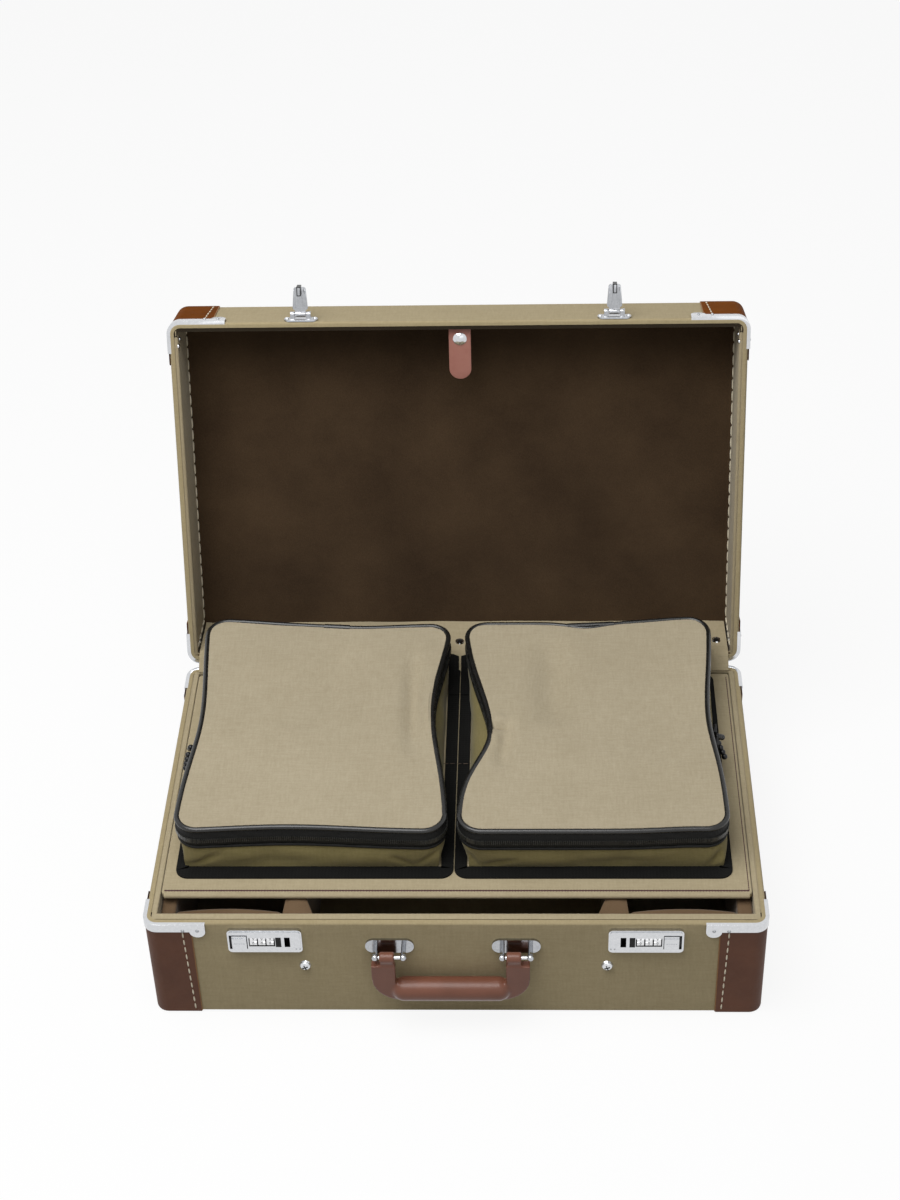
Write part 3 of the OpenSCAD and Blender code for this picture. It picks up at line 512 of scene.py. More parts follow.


# Near-black brown of the front strip: painted shade of the groove.
groove_painted_shade = brushed_suede("painted_shade_strip_dark", "#241E16", "#332B20")
for box, body in (("base", "case_base"), ("lid", "lid")):
    for kind, strip_material, slot, sunk in (("cloth", khaki_cloth, "khaki_cloth", CLOTH_SUNK),
                                             ("painted_shade", groove_painted_shade, "brown_suede", SHADE_STRIP_SUNK)):
        groove = box_between((-GROOVE_X, -GROOVE_Y, RIM_Z - STRIP_T), (GROOVE_X, GROOVE_Y, RIM_Z - sunk))
        round_edges(groove, edges_along(groove, 2), GROOVE_CORNER_R, 4)
        groove_top = [f for f in groove.faces if f.normal.z > 0.99]
        bmesh.ops.inset_region(groove, faces=groove_top, thickness=GROOVE_W, use_even_offset=True)
        drop_faces(groove, groove_top + [f for f in groove.faces if f.normal.z < -0.99])
        if kind == "painted_shade":
            cut_off(groove, (0, SHADE_STRIP_BACK_Y, 0), (0, -1, 0))
        if body == "lid":
            onto_lid(groove)
        make_piece(f"{box}_rim_groove_{kind}", groove, strip_material, body)

# Dividers and foam blocks: firm foam covered in brown suede cloth. The dividers flare to the front
# wall and the organiser panel rests on them. The blocks line the two side compartments.
FOAM_ROUND = 0.0035
FOAM_TOP_Z = 0.104
FOAM_CROWN = 0.0058
FOAM_FRONT_Y = -0.147
FOAM_FRONT_FROM = 0.152
FOAM_FRONT_TO = 0.252


brown_suede = brushed_suede("suede_cloth_brown", "#54422F", "#75604A")


def copied_node(name, flat=0.5):
    """A CAD node's mesh with its loose triangles joined into whole faces."""
    bm = bmesh.new()
    bm.from_mesh(frame["nodes"][name].data)
    bmesh.ops.remove_doubles(bm, verts=bm.verts[:], dist=0.000002)
    bmesh.ops.dissolve_limit(bm, angle_limit=math.radians(flat), verts=bm.verts[:], edges=bm.edges[:])
    return bm


def sharp_edges(bm, angle=35):
    """Edges where two faces meet at more than an angle."""
    return [e for e in bm.edges if e.is_manifold and e.calc_face_angle(0) > math.radians(angle)]


for name in ("divider_left", "divider_right", "compartment_foam"):
    foam = copied_node(name)
    round_edges(foam, sharp_edges(foam, 50), FOAM_ROUND, 4)
    if name == "compartment_foam":
        for i in range(-26, 27):
            cut_across(foam, foam.faces[:], (0.01 * i, 0, 0), (1, 0, 0))
        for v in foam.verts:
            reach = (abs(v.co.x) - FOAM_FRONT_FROM) / (FOAM_FRONT_TO - FOAM_FRONT_FROM)
            if v.co.y < FOAM_FRONT_Y and v.co.z > FOAM_TOP_Z - FOAM_ROUND and 0 < reach < 1:
                v.co.z += FOAM_CROWN * math.sin(math.pi * reach) ** 0.7
    make_piece(name + "_padded", foam, brown_suede, "case_base", [name])

# Bright metal: brackets pressed from steel sheet, lock and hasp plates, hinges and screws, all
# nickel-chrome plated and buffed. The brackets are nailed over the corners of both rims.
PRESSED_ROUND = 0.00035


def bright_plate(name, dark, light):
    """Buffed chrome on pressed steel: near mirror, with faint polishing haze."""
    chrome = new_material(name)
    place = pattern_place(chrome)
    haze = add(chrome, "TexNoise", {"Vector": place, "Scale": 400, "Detail": 3})
    rough = add(chrome, "Math", {0: haze, 1: 0.1, 2: 0.1}, operation="MULTIPLY_ADD")
    dents = add(chrome, "TexNoise", {"Vector": place, "Scale": 160, "Detail": 1})
    bump = add(chrome, "Bump", {"Height": dents, "Strength": 0.05, "Distance": 0.0004})
    return close_material(chrome, haze, dark, light, {"Metallic": 1.0, "Roughness": rough, "Normal": bump})


chrome = bright_plate("polished_chrome_plate", "#C6C8CB", "#DBDCDE")
# A darker copy of the same chrome, on the hasps and the handle mounts.
hasp_chrome = bright_plate("darker_chrome_plate", "#9EA0A4", "#BFC1C4")


def softened_node(name, body, metal):
    """A CAD node's shape with its pressed edges slightly rounded."""
    bm = copied_node(name)
    round_edges(bm, sharp_edges(bm), PRESSED_ROUND, 2)
    return make_piece(name + "_pressed", bm, metal, body, [name], crease=30)


for name, body, metal in (("base_corner_brackets", "case_base", chrome),
                          ("lid_corner_brackets", "lid", chrome), ("hasp_bases", "lid", hasp_chrome),
                          ("hasp_left", "hasp_left", hasp_chrome), ("hasp_right", "hasp_right", hasp_chrome)):
    softened_node(name, body, metal)
for name in ("hinge_base_leaves", "hinge_pins", "hinge_lid_leaves", "handle_pins", "snap_cap", "lock_axles",
             "lock_case_left", "lock_case_right", "lock_slide_left", "lock_slide_right"):
    finish_node(name, chrome)
finish_node("handle_mounts", hasp_chrome)


def satin_skin(name, dark, light, rough, marks, metallic=0.0):
    """A satin gloss that fine marks break up: scratches on plated metal, lint on moulded plastic."""
    skin = new_material(name)
    uneven = add(skin, "TexNoise", {"Vector": pattern_place(skin), "Scale": marks, "Detail": 4})
    gloss = add(skin, "Math", {0: uneven, 1: 0.2, 2: rough - 0.1}, operation="MULTIPLY_ADD")
    return close_material(skin, uneven, dark, light, {"Metallic": metallic, "Roughness": gloss})


nail_nickel = satin_skin("satin_nickel_nails", "#85878A", "#A9ABAE", 0.35, 900, 1.0)
dial_nickel = satin_skin("satin_nickel_dials", "#D3D4D6", "#EDEDEE", 0.3, 900, 1.0)
# Blackened steel for the digits, staples and zip sliders; the same dark is painted shade in the lock pockets,
# the screw slots and under the hasp bases.
black_steel_and_shade = satin_skin("blackened_steel_and_painted_shade", "#232323", "#3A3A3B", 0.35, 900, 1.0)
for name in ("base_bracket_nails", "lid_bracket_nails"):
    finish_node(name, nail_nickel)

# Binding screws of the dividers: domed chrome heads on a thin rolled flange. Their cross slot is two dark
# bars laid on the dome, painted shade of the recess.
SCREW_X = 0.1345
SCREW_Z = 0.062
SCREW_R = 0.0055
HEAD_R = SCREW_R * 0.9
SLOT_SHADE_SIZE = (0.0052, 0.0009, 0.0010)
SLOT_SHADE_OUT = 0.0036
FACE_Y = -0.1738
forward = Matrix.Rotation(math.pi / 2, 4, "X")
screws = bmesh.new()
slot_shades = bmesh.new()
for sx in (-1, 1):
    face = Matrix.Translation((sx * SCREW_X, FACE_Y, SCREW_Z)) @ forward
    bmesh.ops.create_cone(screws, cap_ends=True, segments=32, radius1=SCREW_R, radius2=HEAD_R,
                          depth=0.0012, matrix=face @ Matrix.Translation((0, 0, 0.0006)))
    dome = face @ Matrix.Translation((0, 0, 0.0008)) @ Matrix.Diagonal((1, 1, 0.62, 1))
    bmesh.ops.create_uvsphere(screws, u_segments=32, v_segments=16, radius=HEAD_R, matrix=dome)
    for turn in (0.35, 0.35 + math.pi / 2):
        add_block(slot_shades, face @ Vector((0, 0, SLOT_SHADE_OUT)), SLOT_SHADE_SIZE, forward @ Matrix.Rotation(turn, 4, "Z"))
bmesh.ops.bisect_plane(screws, geom=screws.verts[:] + screws.edges[:] + screws.faces[:],
                       plane_co=(0, FACE_Y, 0), plane_no=(0, 1, 0), clear_outer=True)
make_piece("divider_screw_heads", screws, chrome, "case_base", ["divider_screws"])
make_piece("divider_screw_slot_shades", slot_shades, black_steel_and_shade, "case_base")

# Combination locks: the pockets of the slide, the dials and the hasp slot inside the chrome plates are lined
# with dark shells, painted shade of their depth, and a ribbed rubber pad sits beside the dials. The dials are
# numbered 0 to 9.
LOCK_X = 0.168
LOCK_Z = 0.096
LOCK_FACE_Y = FACE_Y - 0.0045
POCKET_SKIN = 0.00012
# Pockets of the slide, the dials and the hasp slot: from and to across the plate, height and depth.
lock_pockets = ((0.1832, 0.1992, 0.0165, 0.0015), (0.1589, 0.1819, 0.0103, 0.0062),
                (0.1455, 0.1505, 0.0119, 0.0070))
PAD_X = 0.15585
PAD_SIZE = (0.0049, 0.0002, 0.0118)
RIB_SIZE = (0.0049, 0.0005, 0.0011)
RIB_PITCH = 0.0015
pocket_shades_and_pad = bmesh.new()
plate_dots = bmesh.new()
for sx in (-1, 1):
    # Dark shell just inside each pocket: painted shade of its depth.
    for x_in, x_out, tall, deep in lock_pockets:
        x_low, x_high = sorted((sx * (x_in + POCKET_SKIN), sx * (x_out - POCKET_SKIN)))
        shell = box_between((x_low, LOCK_FACE_Y + POCKET_SKIN, LOCK_Z - tall / 2),
                            (x_high, LOCK_FACE_Y + deep, LOCK_Z + tall / 2))
        drop_faces(shell, [f for f in shell.faces if f.normal.y < -0.99])
        inside_out(shell)
        join(pocket_shades_and_pad, shell)
    add_block(pocket_shades_and_pad, (sx * PAD_X, LOCK_FACE_Y, LOCK_Z), PAD_SIZE)
    for i in range(8):
        add_block(pocket_shades_and_pad, (sx * PAD_X, LOCK_FACE_Y, LOCK_Z - 0.0053 + RIB_PITCH * i), RIB_SIZE)
    for x in (0.1372, 0.1405):
        bmesh.ops.create_icosphere(plate_dots, subdivisions=2, radius=0.0007,
                                   matrix=Matrix.Translation((sx * x, LOCK_FACE_Y, LOCK_Z - 0.0085)))
make_piece("lock_pocket_shades_and_pad", pocket_shades_and_pad, black_steel_and_shade, "case_base")
make_piece("lock_plate_rivets", plate_dots, nail_nickel, "case_base")

DIAL_R = 0.0065
DIAL_Y = LOCK_FACE_Y - 0.0012 + DIAL_R
DIAL_MID_X = LOCK_X + 0.0024
DIAL_PITCH = 0.0074
DIGIT_TALL = 0.0036
DIGIT_OUT = 0.00003
for side, sx in (("left", -1), ("right", 1)):
    for k in (1, 2, 3):
        finish_node(f"lock_dial_{side}_{k}", dial_nickel)
        centre = Matrix.Translation((sx * (DIAL_MID_X + (k - 2) * DIAL_PITCH), DIAL_Y, LOCK_Z))
        digits = bmesh.new()
        for number in range(10):
            letter = bpy.data.curves.new("digit", "FONT")
            letter.body = str(number)
            letter.size = DIGIT_TALL
            letter.align_x = "CENTER"
            letter.align_y = "CENTER"
            holder = linked("digit", letter)
            evaluated = holder.evaluated_get(bpy.context.evaluated_depsgraph_get())
            drawn = bpy.data.meshes.new_from_object(evaluated)
            bpy.data.objects.remove(holder)
            drawn.transform(centre @ Matrix.Rotation(math.radians(36 * number), 4, "X")
                            @ Matrix.Translation((0, -DIAL_R - DIGIT_OUT, 0)) @ forward)
            digits.from_mesh(drawn)
        make_piece(f"lock_digits_{side}_{k}", digits, black_steel_and_shade, f"lock_dial_{side}_{k}")

# Hasps: each plate carries a blackened steel staple, and turns in a base with two domed rivets. A dark bar
# under each base is painted shade of the gap below it.
HASP_X = 0.148
HASP_Y = LOCK_FACE_Y - 0.0022
HASP_Z = 0.120
STAPLE_Y = HASP_Y - (HASP_Z - LOCK_Z)
STAPLE_HALF = (0.0019, 0.0044)
STAPLE_FROM = HASP_Z - 0.0010
STAPLE_TO = HASP_Z - 0.01005
HASP_RIVET_X = 0.0133
HASP_RIVET_R = 0.0021
HASP_GAP_SHADE = (0.0096, 0.0002, 0.0026)
for side, sx in (("left", -1), ("right", 1)):
    staple = box_between((sx * HASP_X - STAPLE_HALF[0], STAPLE_Y - STAPLE_HALF[1], STAPLE_TO),
                         (sx * HASP_X + STAPLE_HALF[0], STAPLE_Y + STAPLE_HALF[1], STAPLE_FROM))
    tip = [f for f in staple.faces if f.normal.z < -0.99]
    bmesh.ops.inset_region(staple, faces=tip, thickness=0.0010)
    drop_faces(staple, tip)
    staple.transform(open_lid)
    thicken(make_piece(f"hasp_{side}_staple", staple, black_steel_and_shade, f"hasp_{side}"), 0.0001, 1)
base_rivets = bmesh.new()
base_gap_shades = bmesh.new()
BASE_FACE_Y = FACE_Y - 0.0020
for sx in (-1, 1):
    for x in (-HASP_RIVET_X, HASP_RIVET_X):
        dome = Matrix.Translation((sx * HASP_X + x, BASE_FACE_Y, HASP_Z + 0.0020))
        bmesh.ops.create_uvsphere(base_rivets, u_segments=20, v_segments=12, radius=HASP_RIVET_R,
                                  matrix=dome @ Matrix.Diagonal((1, 0.7, 1, 1)))
    add_block(base_gap_shades, (sx * HASP_X, BASE_FACE_Y, HASP_Z - 0.0026), HASP_GAP_SHADE)
base_rivets.transform(open_lid)
base_gap_shades.transform(open_lid)
make_piece("hasp_base_rivets", base_rivets, chrome, "lid")
make_piece("hasp_base_gap_shades", base_gap_shades, black_steel_and_shade, "lid")

# Handle: one piece of leather over a rope core, sewn shut, with a loop on each cross pin. Its legs
# are flat and two layers thick, and the grip between them is a round roll.
GRIP_VOXEL = 0.0010


handle_leather = smooth_leather("waxed_leather_handle", "#643E2F", "#7C4F3E", rough=0.34, coat=0.25)
core = linked("grip", as_mesh("grip", copied_node("handle_grip")))
remesh = core.modifiers.new("remesh", "REMESH")
remesh.mode = "VOXEL"
remesh.voxel_size = GRIP_VOXEL
grip = bmesh.new()
grip.from_object(core, bpy.context.evaluated_depsgraph_get())
bpy.data.objects.remove(core)
for _ in range(4):
    bmesh.ops.smooth_vert(grip, verts=grip.verts[:], factor=0.5, use_axis_x=True, use_axis_y=True,
                          use_axis_z=True)
make_piece("handle_leather_grip", grip, handle_leather, "handle", ["handle_grip"],
           crease=180)

# Lining of the lid: brown suede over the top and both long walls, and padded khaki cloth on the two
# side walls, sewn to the suede with cream thread.
LID_CEILING = 0.1722
LID_LINING_RIM = 0.1164
LID_INNER_Y = 0.1674
LID_PAD_OUT = 0.2685
LID_PAD_Y = 0.1672
LID_PAD_LOW = 0.1158
LID_BEAD_R = 0.0017
LID_CORNER_R = 0.004
LID_EDGE_R = 0.006
PAD_ROUND = 0.0009
SIDE_RIVET_R = 0.0024
SIDE_SEWING = (0.0120, 0.0116, 0.0011)  # pitch, length and radius of the stitches
suede_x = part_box("lid_lining")[1].x

lid_suede = brushed_suede("suede_lid_lining", "#2A1E13", "#503F2D", turn=open_angle)
lid_khaki = woven_cloth("cotton_lining_lid", "#8F8268", "#A89B7E", 0.0013, turn=open_angle)
suede_box = box_between((-suede_x, -LID_INNER_Y, LID_LINING_RIM), (suede_x, LID_INNER_Y, LID_CEILING))
round_edges(suede_box, edges_along(suede_box, 2), LID_CORNER_R, 4)
round_edges(suede_box, edges_at(suede_box, LID_CEILING), LID_EDGE_R, 4)
drop_faces(suede_box, [f for f in suede_box.faces if f.normal.z < -0.99])
inside_out(suede_box)
suede_box.transform(open_lid)
thicken(make_piece("lid_suede_lining", suede_box, lid_suede, "lid", ["lid_lining"]), 0.0010)

lengthwise = Matrix.Rotation(math.pi / 2, 4, "Y")
lid_bead = bmesh.new()
for sy in (-1, 1):
    lie = Matrix.Translation((0, sy * (LID_INNER_Y - 0.0006), LID_PAD_LOW + LID_BEAD_R)) @ lengthwise
    bmesh.ops.create_cone(lid_bead, cap_ends=True, segments=16, radius1=LID_BEAD_R, radius2=LID_BEAD_R,
                          depth=2 * suede_x - 0.001, matrix=lie)
lid_bead.transform(open_lid)
bead_suede = brushed_suede("suede_cloth_bead", "#4F4230", "#6A5A44")
make_piece("lid_rim_bead", lid_bead, bead_suede, "lid")

side_pads = bmesh.new()
side_sewing = bmesh.new()
side_rivets = bmesh.new()
for sx in (-1, 1):
    x_in = suede_x - 0.0004
    x_low, x_high = sorted((sx * x_in, sx * LID_PAD_OUT))
    pad = box_between((x_low, -LID_PAD_Y, LID_PAD_LOW), (x_high, LID_PAD_Y, LID_CEILING))
    round_edges(pad, pad.edges[:], PAD_ROUND, 3)
    join(side_pads, pad)
    stitch_face = sx * (x_in - 0.0003)
    turns = [(stitch_face, y, z) for y, z in ((-0.160, 0.1698), (0.150, 0.1698), (0.160, 0.1185))]
    for start, end in zip(turns, turns[1:]):
        sew(side_sewing, start, end, (-sx, 0, 0), *SIDE_SEWING)
    for y, z in ((-0.156, 0.126), (-0.151, 0.1175), (0.159, 0.131)):
        dome = Matrix.Translation((stitch_face, y, z)) @ Matrix.Diagonal((0.6, 1, 1, 1))
        bmesh.ops.create_uvsphere(side_rivets, u_segments=16, v_segments=8, radius=SIDE_RIVET_R, matrix=dome)
for part in (side_rivets, side_pads, side_sewing):
    part.transform(open_lid)
make_piece("lid_side_rivets", side_rivets, chrome, "lid")
make_piece("lid_side_pads", side_pads, lid_khaki, "lid", ["lid_side_lining"])
make_piece("lid_side_stitches", side_sewing, cream_thread, "lid")

# Snap tab: a leather strip riveted inside the lid's front, with a press stud that takes the
# organiser panel's edge when the panel is folded up into the lid.
tab_leather = smooth_leather("waxed_leather_tab", "#8C584C", "#AE7B6E", turn=open_angle, rough=0.5)
tab = copied_node("snap_tab")
round_edges(tab, sharp_edges(tab, 50), 0.0006, 3)
make_piece("snap_tab_leather", tab, tab_leather, "snap_tab", ["snap_tab"])

# Organiser panel: thin board covered in khaki cloth, with a roll along its front edge and a
# burgundy stitch line that follows the front and the right side.
board_low, board_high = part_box("panel_board")
bead_low, bead_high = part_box("panel_bead")
PANEL_EDGE = 0.0012
PANEL_CLOTH = 0.0006
burgundy_thread = twisted_thread("cotton_thread_burgundy", "#2A0B0E", "#46171A")

panel = box_between((board_low.x - PANEL_CLOTH, board_low.y, board_low.z),
                    (board_high.x + PANEL_CLOTH, board_high.y, board_high.z))
round_edges(panel, edges_along(panel, 2), 0.003, 3)
round_edges(panel, edges_at(panel, board_high.z) + edges_at(panel, board_low.z), PANEL_EDGE, 4)
shade_evenly(make_piece("panel_cloth_board", panel, khaki_cloth, "organiser_panel",
                        ["panel_board"]))

ROLL_R = 0.0026
bead = bmesh.new()
lie = Matrix.Translation((0, bead_high.y - 0.0004, board_high.z - ROLL_R + 0.0003)) @ lengthwise
bmesh.ops.create_cone(bead, cap_ends=True, segments=24, radius1=ROLL_R, radius2=ROLL_R,
                      depth=bead_high.x - bead_low.x, matrix=lie)
make_piece("panel_front_roll", bead, khaki_cloth, "organiser_panel", ["panel_bead"])

panel_sewing = bmesh.new()
sew_front = -0.1336
sew_x = board_high.x - 0.0022
sew_z = board_high.z + 0.0001
sew(panel_sewing, (-sew_x, sew_front, sew_z), (sew_x, sew_front, sew_z), (0, 0, 1), 0.0026, 0.0040, 0.0010)
sew(panel_sewing, (sew_x, sew_front, sew_z), (sew_x, 0.158, sew_z), (0, 0, 1), 0.0026, 0.0028, 0.0005)
make_piece("panel_stitches", panel_sewing, burgundy_thread, "organiser_panel")

# Pouches: two soft cases of khaki cloth sewn to the panel. Each has a flat black tape round its foot,
# a gusset with tucked corners, a zip band and a top that is drawn in at its sides and edged with a
# round vinyl piping. Top and gusset are shaped after the photograph, with their dents and creases.
PANEL_Z = 0.1148
BLOCK_W = 0.242
BLOCK_D = 0.281
WALL_R = 0.021
ZIP_LOW = 0.56
ZIP_HIGH = 0.93
ZIP_TEETH = 0.745
PIPING_R = 0.0026
ZIP_EDGE_R = 0.0016
TOOTH_PITCH = 0.0018
TOOTH_SIZE = (0.0010, 0.0042, 0.0014)
CLOTH_T = 0.0012
TAPE_W = 0.0112
TAPE_T = 0.0016
TAPE_FRONT_EXTRA = 0.0020
TOP_LEVEL = 0.1640

pouch_shapes = {
    "left": {"sign": -1, "foot": (-0.2462, -0.0152), "top": (-0.2505, -0.0080),
             "inner": (0.017, 0.055, 0.095, 0.085), "outer": (0.009, 0.035, 0.070, 0.090),
             "front_dip": (0.006, -0.150, 0.080)},
    "right": {"sign": 1, "foot": (0.0104, 0.2405), "top": (0.0030, 0.2420),
              "inner": (0.027, 0.020, 0.055, 0.090), "outer": (0.009, 0.038, 0.065, 0.080),
              "front_dip": (0.003, 0.215, 0.040)},
}
FOOT_FRONT = -0.1045
FOOT_SQUARE = 0.8
FOOT_BACK = 0.1505
TOP_FRONT = -0.1090
TOP_BACK = 0.1720


def hump(place, middle, reach, back_reach=None):
    """1 at its middle, falling off smoothly to both sides."""
    if back_reach and place >= middle:
        reach = back_reach
    return math.exp(-((place - middle) / reach) ** 2)


def rear_line(sign, x):
    """How far back the rear edge of a top reaches at x, as seen at the height of the front edge."""
    if sign < 0:
        return 0.179 + 0.009 * hump(x, -0.245, 0.070) - 0.003 * hump(x, -0.095, 0.040)
    return 0.181 + 0.0075 * hump(x, 0.230, 0.055) - 0.0065 * hump(x, 0.122, 0.022)


def squared(across, along):
    """Draws a point of a round corner out towards the square corner that the gusset has at its foot."""
    from_side = (BLOCK_W * min(across, 1 - across), BLOCK_D * min(along, 1 - along))
    reach = [WALL_R - distance for distance in from_side]
    if min(reach) <= 0:
        return across, along
    stretch = 1 + FOOT_SQUARE * (Vector(reach).length / max(reach) - 1)
    near = ((WALL_R - reach[0] * stretch) / BLOCK_W, (WALL_R - reach[1] * stretch) / BLOCK_D)
    return [n if place < 0.5 else 1 - n for n, place in zip(near, (across, along))]


def pouch_point(shape, across, along, share):
    """Place of a pouch's point: across and along its plan from 0 to 1, share of its height from 0 to 1."""
    sign = shape["sign"]
    foot_across, foot_along = squared(across, along)
    foot_x = shape["foot"][0] + (shape["foot"][1] - shape["foot"][0]) * foot_across
    foot_y = FOOT_FRONT + (FOOT_BACK - FOOT_FRONT) * foot_along
    y = TOP_FRONT + (TOP_BACK - TOP_FRONT) * along
    x_low, x_high = shape["top"]
    inner = shape["inner"][0] * hump(y, *shape["inner"][1:])
    outer = shape["outer"][0] * hump(y, *shape["outer"][1:])
    x_low += outer if sign < 0 else inner
    x_high -= inner if sign < 0 else outer
    x = x_low + (x_high - x_low) * across
    seen = rear_line(sign, x)
    back_y = 0.170 + 0.9 * (seen - 0.175)
    back_z = TOP_LEVEL + (seen - back_y) / 1.23
    dip, dip_x, dip_reach = shape["front_dip"]
    front_y = TOP_FRONT + dip * hump(x, dip_x, dip_reach)
    top_y = front_y + (back_y - front_y) * along
    top_z = TOP_LEVEL + (back_z - TOP_LEVEL) * along ** 2
    lean = min(1.0, share / ZIP_LOW) ** 1.3
    place = Vector((foot_x, foot_y, PANEL_Z)).lerp(Vector((x, top_y, top_z)), lean)
    place.z = PANEL_Z + (top_z - PANEL_Z) * share
    return place


def pouch_block(levels, cell=0.0075):
    """A block of unit height with the pouch's round corners, cut into cells for shaping."""
    bm = box_between((0, 0, 0), (BLOCK_W, BLOCK_D, 1))
    round_edges(bm, edges_along(bm, 2), WALL_R, 10)
    for length, across in ((BLOCK_W, Vector((1, 0, 0))), (BLOCK_D, Vector((0, 1, 0)))):
        for i in range(1, round(length / cell)):
            cut_across(bm, bm.faces[:], across * i * cell, across)
    for level in levels:
        cut_across(bm, bm.faces[:], (0, 0, level), (0, 0, 1))
    return bm


def keep_band(bm, low, high):
    """Keeps the walls between two shares of the height."""
    drop_faces(bm, [f for f in bm.faces
                    if abs(f.normal.z) > 0.99 or not low < f.calc_center_median().z < high])
    return bm


def shape_pouch(bm, shape, bulge=None):
    """Moves the block's points to the pouch's real shape, and then out by the bulge at each place."""
    places = [(v, v.co.x / BLOCK_W, v.co.y / BLOCK_D, v.co.z) for v in bm.verts]
    for v, across, along, share in places:
        v.co = pouch_point(shape, across, along, share)
    if bulge:
        bm.normal_update()
        moved = [(v, v.normal * bulge(v.co, across, along, share)) for v, across, along, share in places]
        for v, step in moved:
            v.co += step
    return bm


def soft_wave(place, scale, seed):
    """Smooth wave between about -1 and 1, the same on each run."""
    return noise.noise(Vector(place) / scale + Vector((seed, 2.3 * seed, 0.7 * seed)))


def crease(x, y, start, end, width):
    """1 at the middle of the line between two points, falling off to its sides and ends."""
    line = Vector(end) - Vector(start)
    off = Vector((x, y)) - Vector(start)
    share = min(1.0, max(0.0, off.dot(line) / line.length_squared))
    fade = 1 - 0.85 * (2 * share - 1) ** 2
    return fade * math.exp(-((off - line * share).length / width) ** 2)


def thick(bm, thickness):
    """Gives an open shell its thickness, inwards."""
    bmesh.ops.solidify(bm, geom=bm.faces[:], thickness=thickness)
    return bm


def cord_round(name, shape, share, radius, material, body, replaced=()):
    """A round cord on the pouch's wall, all the way round at one share of its height."""
    bm = pouch_block([share])
    cut_off(bm, (0, 0, share), (0, 0, -1))
    rim = [e for e in bm.edges if e.is_boundary]
    bmesh.ops.delete(bm, geom=bm.faces[:], context="FACES_ONLY")
    bmesh.ops.delete(bm, geom=[e for e in bm.edges if e not in rim], context="EDGES")
    bmesh.ops.delete(bm, geom=[v for v in bm.verts if not v.link_edges], context="VERTS")
    shape_pouch(bm, shape)
    cord = linked(name, as_mesh(name, bm))
    with bpy.context.temp_override(active_object=cord, object=cord, selected_objects=[cord],
                                   selected_editable_objects=[cord]):
        bpy.ops.object.convert(target="CURVE")
        cord.data.bevel_depth = radius
        cord.data.bevel_resolution = 3
        bpy.ops.object.convert(target="MESH")
    round_skin = bmesh.new()
    round_skin.from_mesh(cord.data)
    bpy.data.objects.remove(cord)
    return make_piece(name, round_skin, material, body, replaced, crease=180)


def ribbed_tape(name, pitch, dark, light, rough, gloss):
    """Black polyester tape: close ribs across it, too fine to count, that break up its shine."""
    tape = new_material(name)
    place = pattern_place(tape)
    height = 0.0
    for axis in "XY":
        rib = add(tape, "TexWave", {"Vector": place, "Scale": 2 * math.pi / 20 / pitch, "Distortion": 0.3},
                  bands_direction=axis)
        height = add(tape, "Math", {0: height, 1: rib.outputs["Fac"]}, operation="ADD")
    dust = add(tape, "TexNoise", {"Vector": place, "Scale": 60, "Detail": 5})
    share = add(tape, "Math", {0: height, 1: 0.2, 2: dust}, operation="MULTIPLY_ADD")
    share = add(tape, "Math", {0: share, 1: -0.2}, operation="ADD", use_clamp=True)
    bump = add(tape, "Bump", {"Height": height, "Strength": 0.5, "Distance": 0.0003})
    return close_material(tape, share, dark, light, {
        "Roughness": rough, "Specular IOR Level": gloss, "Normal": bump})


pouch_cloth = woven_cloth("cotton_pouch_cloth", "#998D74", "#B6AB93", 0.0011, mottle=0.4)
# The gusset cloth is a darker copy of the pouch cloth: painted shade under the overhang of the zip band.
gusset_cloth = woven_cloth("cotton_pouch_gusset_painted_shade", "#736940", "#8C8158", 0.0012, mottle=0.3)
vinyl = satin_skin("vinyl_piping", "#0E0E0D", "#1D1D1C", 0.27, 90)
nylon = satin_skin("moulded_nylon_teeth", "#262624", "#3C3C39", 0.27, 90)
zip_tape = ribbed_tape("polyester_zip_tape", 0.0016, "#0E0E0D", "#1B1B1A", 0.6, 0.2)
# The binding tape's black also fills the rear gusset's eyelet holes as painted shade.
tape_and_hole_shade = ribbed_tape("polyester_tape_and_hole_shade", 0.0030, "#0C0C0B", "#171716", 0.85, 0.12)

# Dents and creases of the two tops: start and end in plan, width and depth.
top_creases = {
    "left": (((-0.0450, 0.135), (-0.0415, -0.010), 0.0090, 0.0074),
             ((-0.0300, 0.100), (-0.0285, 0.020), 0.0065, -0.0026),
             ((-0.110, 0.150), (-0.150, 0.020), 0.028, 0.0036)),
    "right": (((0.0300, 0.0275), (0.0500, 0.0315), 0.0030, 0.0062),
              ((0.0350, 0.0370), (0.0420, 0.0430), 0.0034, -0.0022),
              ((0.0470, 0.0340), (0.0400, -0.0280), 0.0070, 0.0058),
              ((0.0330, 0.0180), (0.0380, 0.0060), 0.0042, -0.0020),
              ((0.0900, 0.155), (0.0870, 0.030), 0.017, 0.0074),
              ((0.190, 0.120), (0.170, -0.020), 0.035, 0.0030)),
}
# Tucks of the two gussets at their front wall: start and end as width and height above the panel.
gusset_tucks = {
    "left": (((0.006, 0.002), (0.038, 0.020), 0.0030, 0.0032),
             ((0.218, 0.002), (0.194, 0.019), 0.0026, 0.0030),
             ((0.218, 0.002), (0.238, 0.024), 0.0026, 0.0026),
             ((0.050, 0.006), (0.150, 0.010), 0.0060, 0.0012)),
    "right": (((0.010, 0.002), (0.004, 0.022), 0.0026, 0.0026),
              ((0.014, 0.003), (0.048, 0.014), 0.0030, 0.0026),
              ((0.229, 0.004), (0.236, 0.022), 0.0028, 0.0040),
              ((0.100, 0.008), (0.190, 0.011), 0.0060, 0.0012)),
}

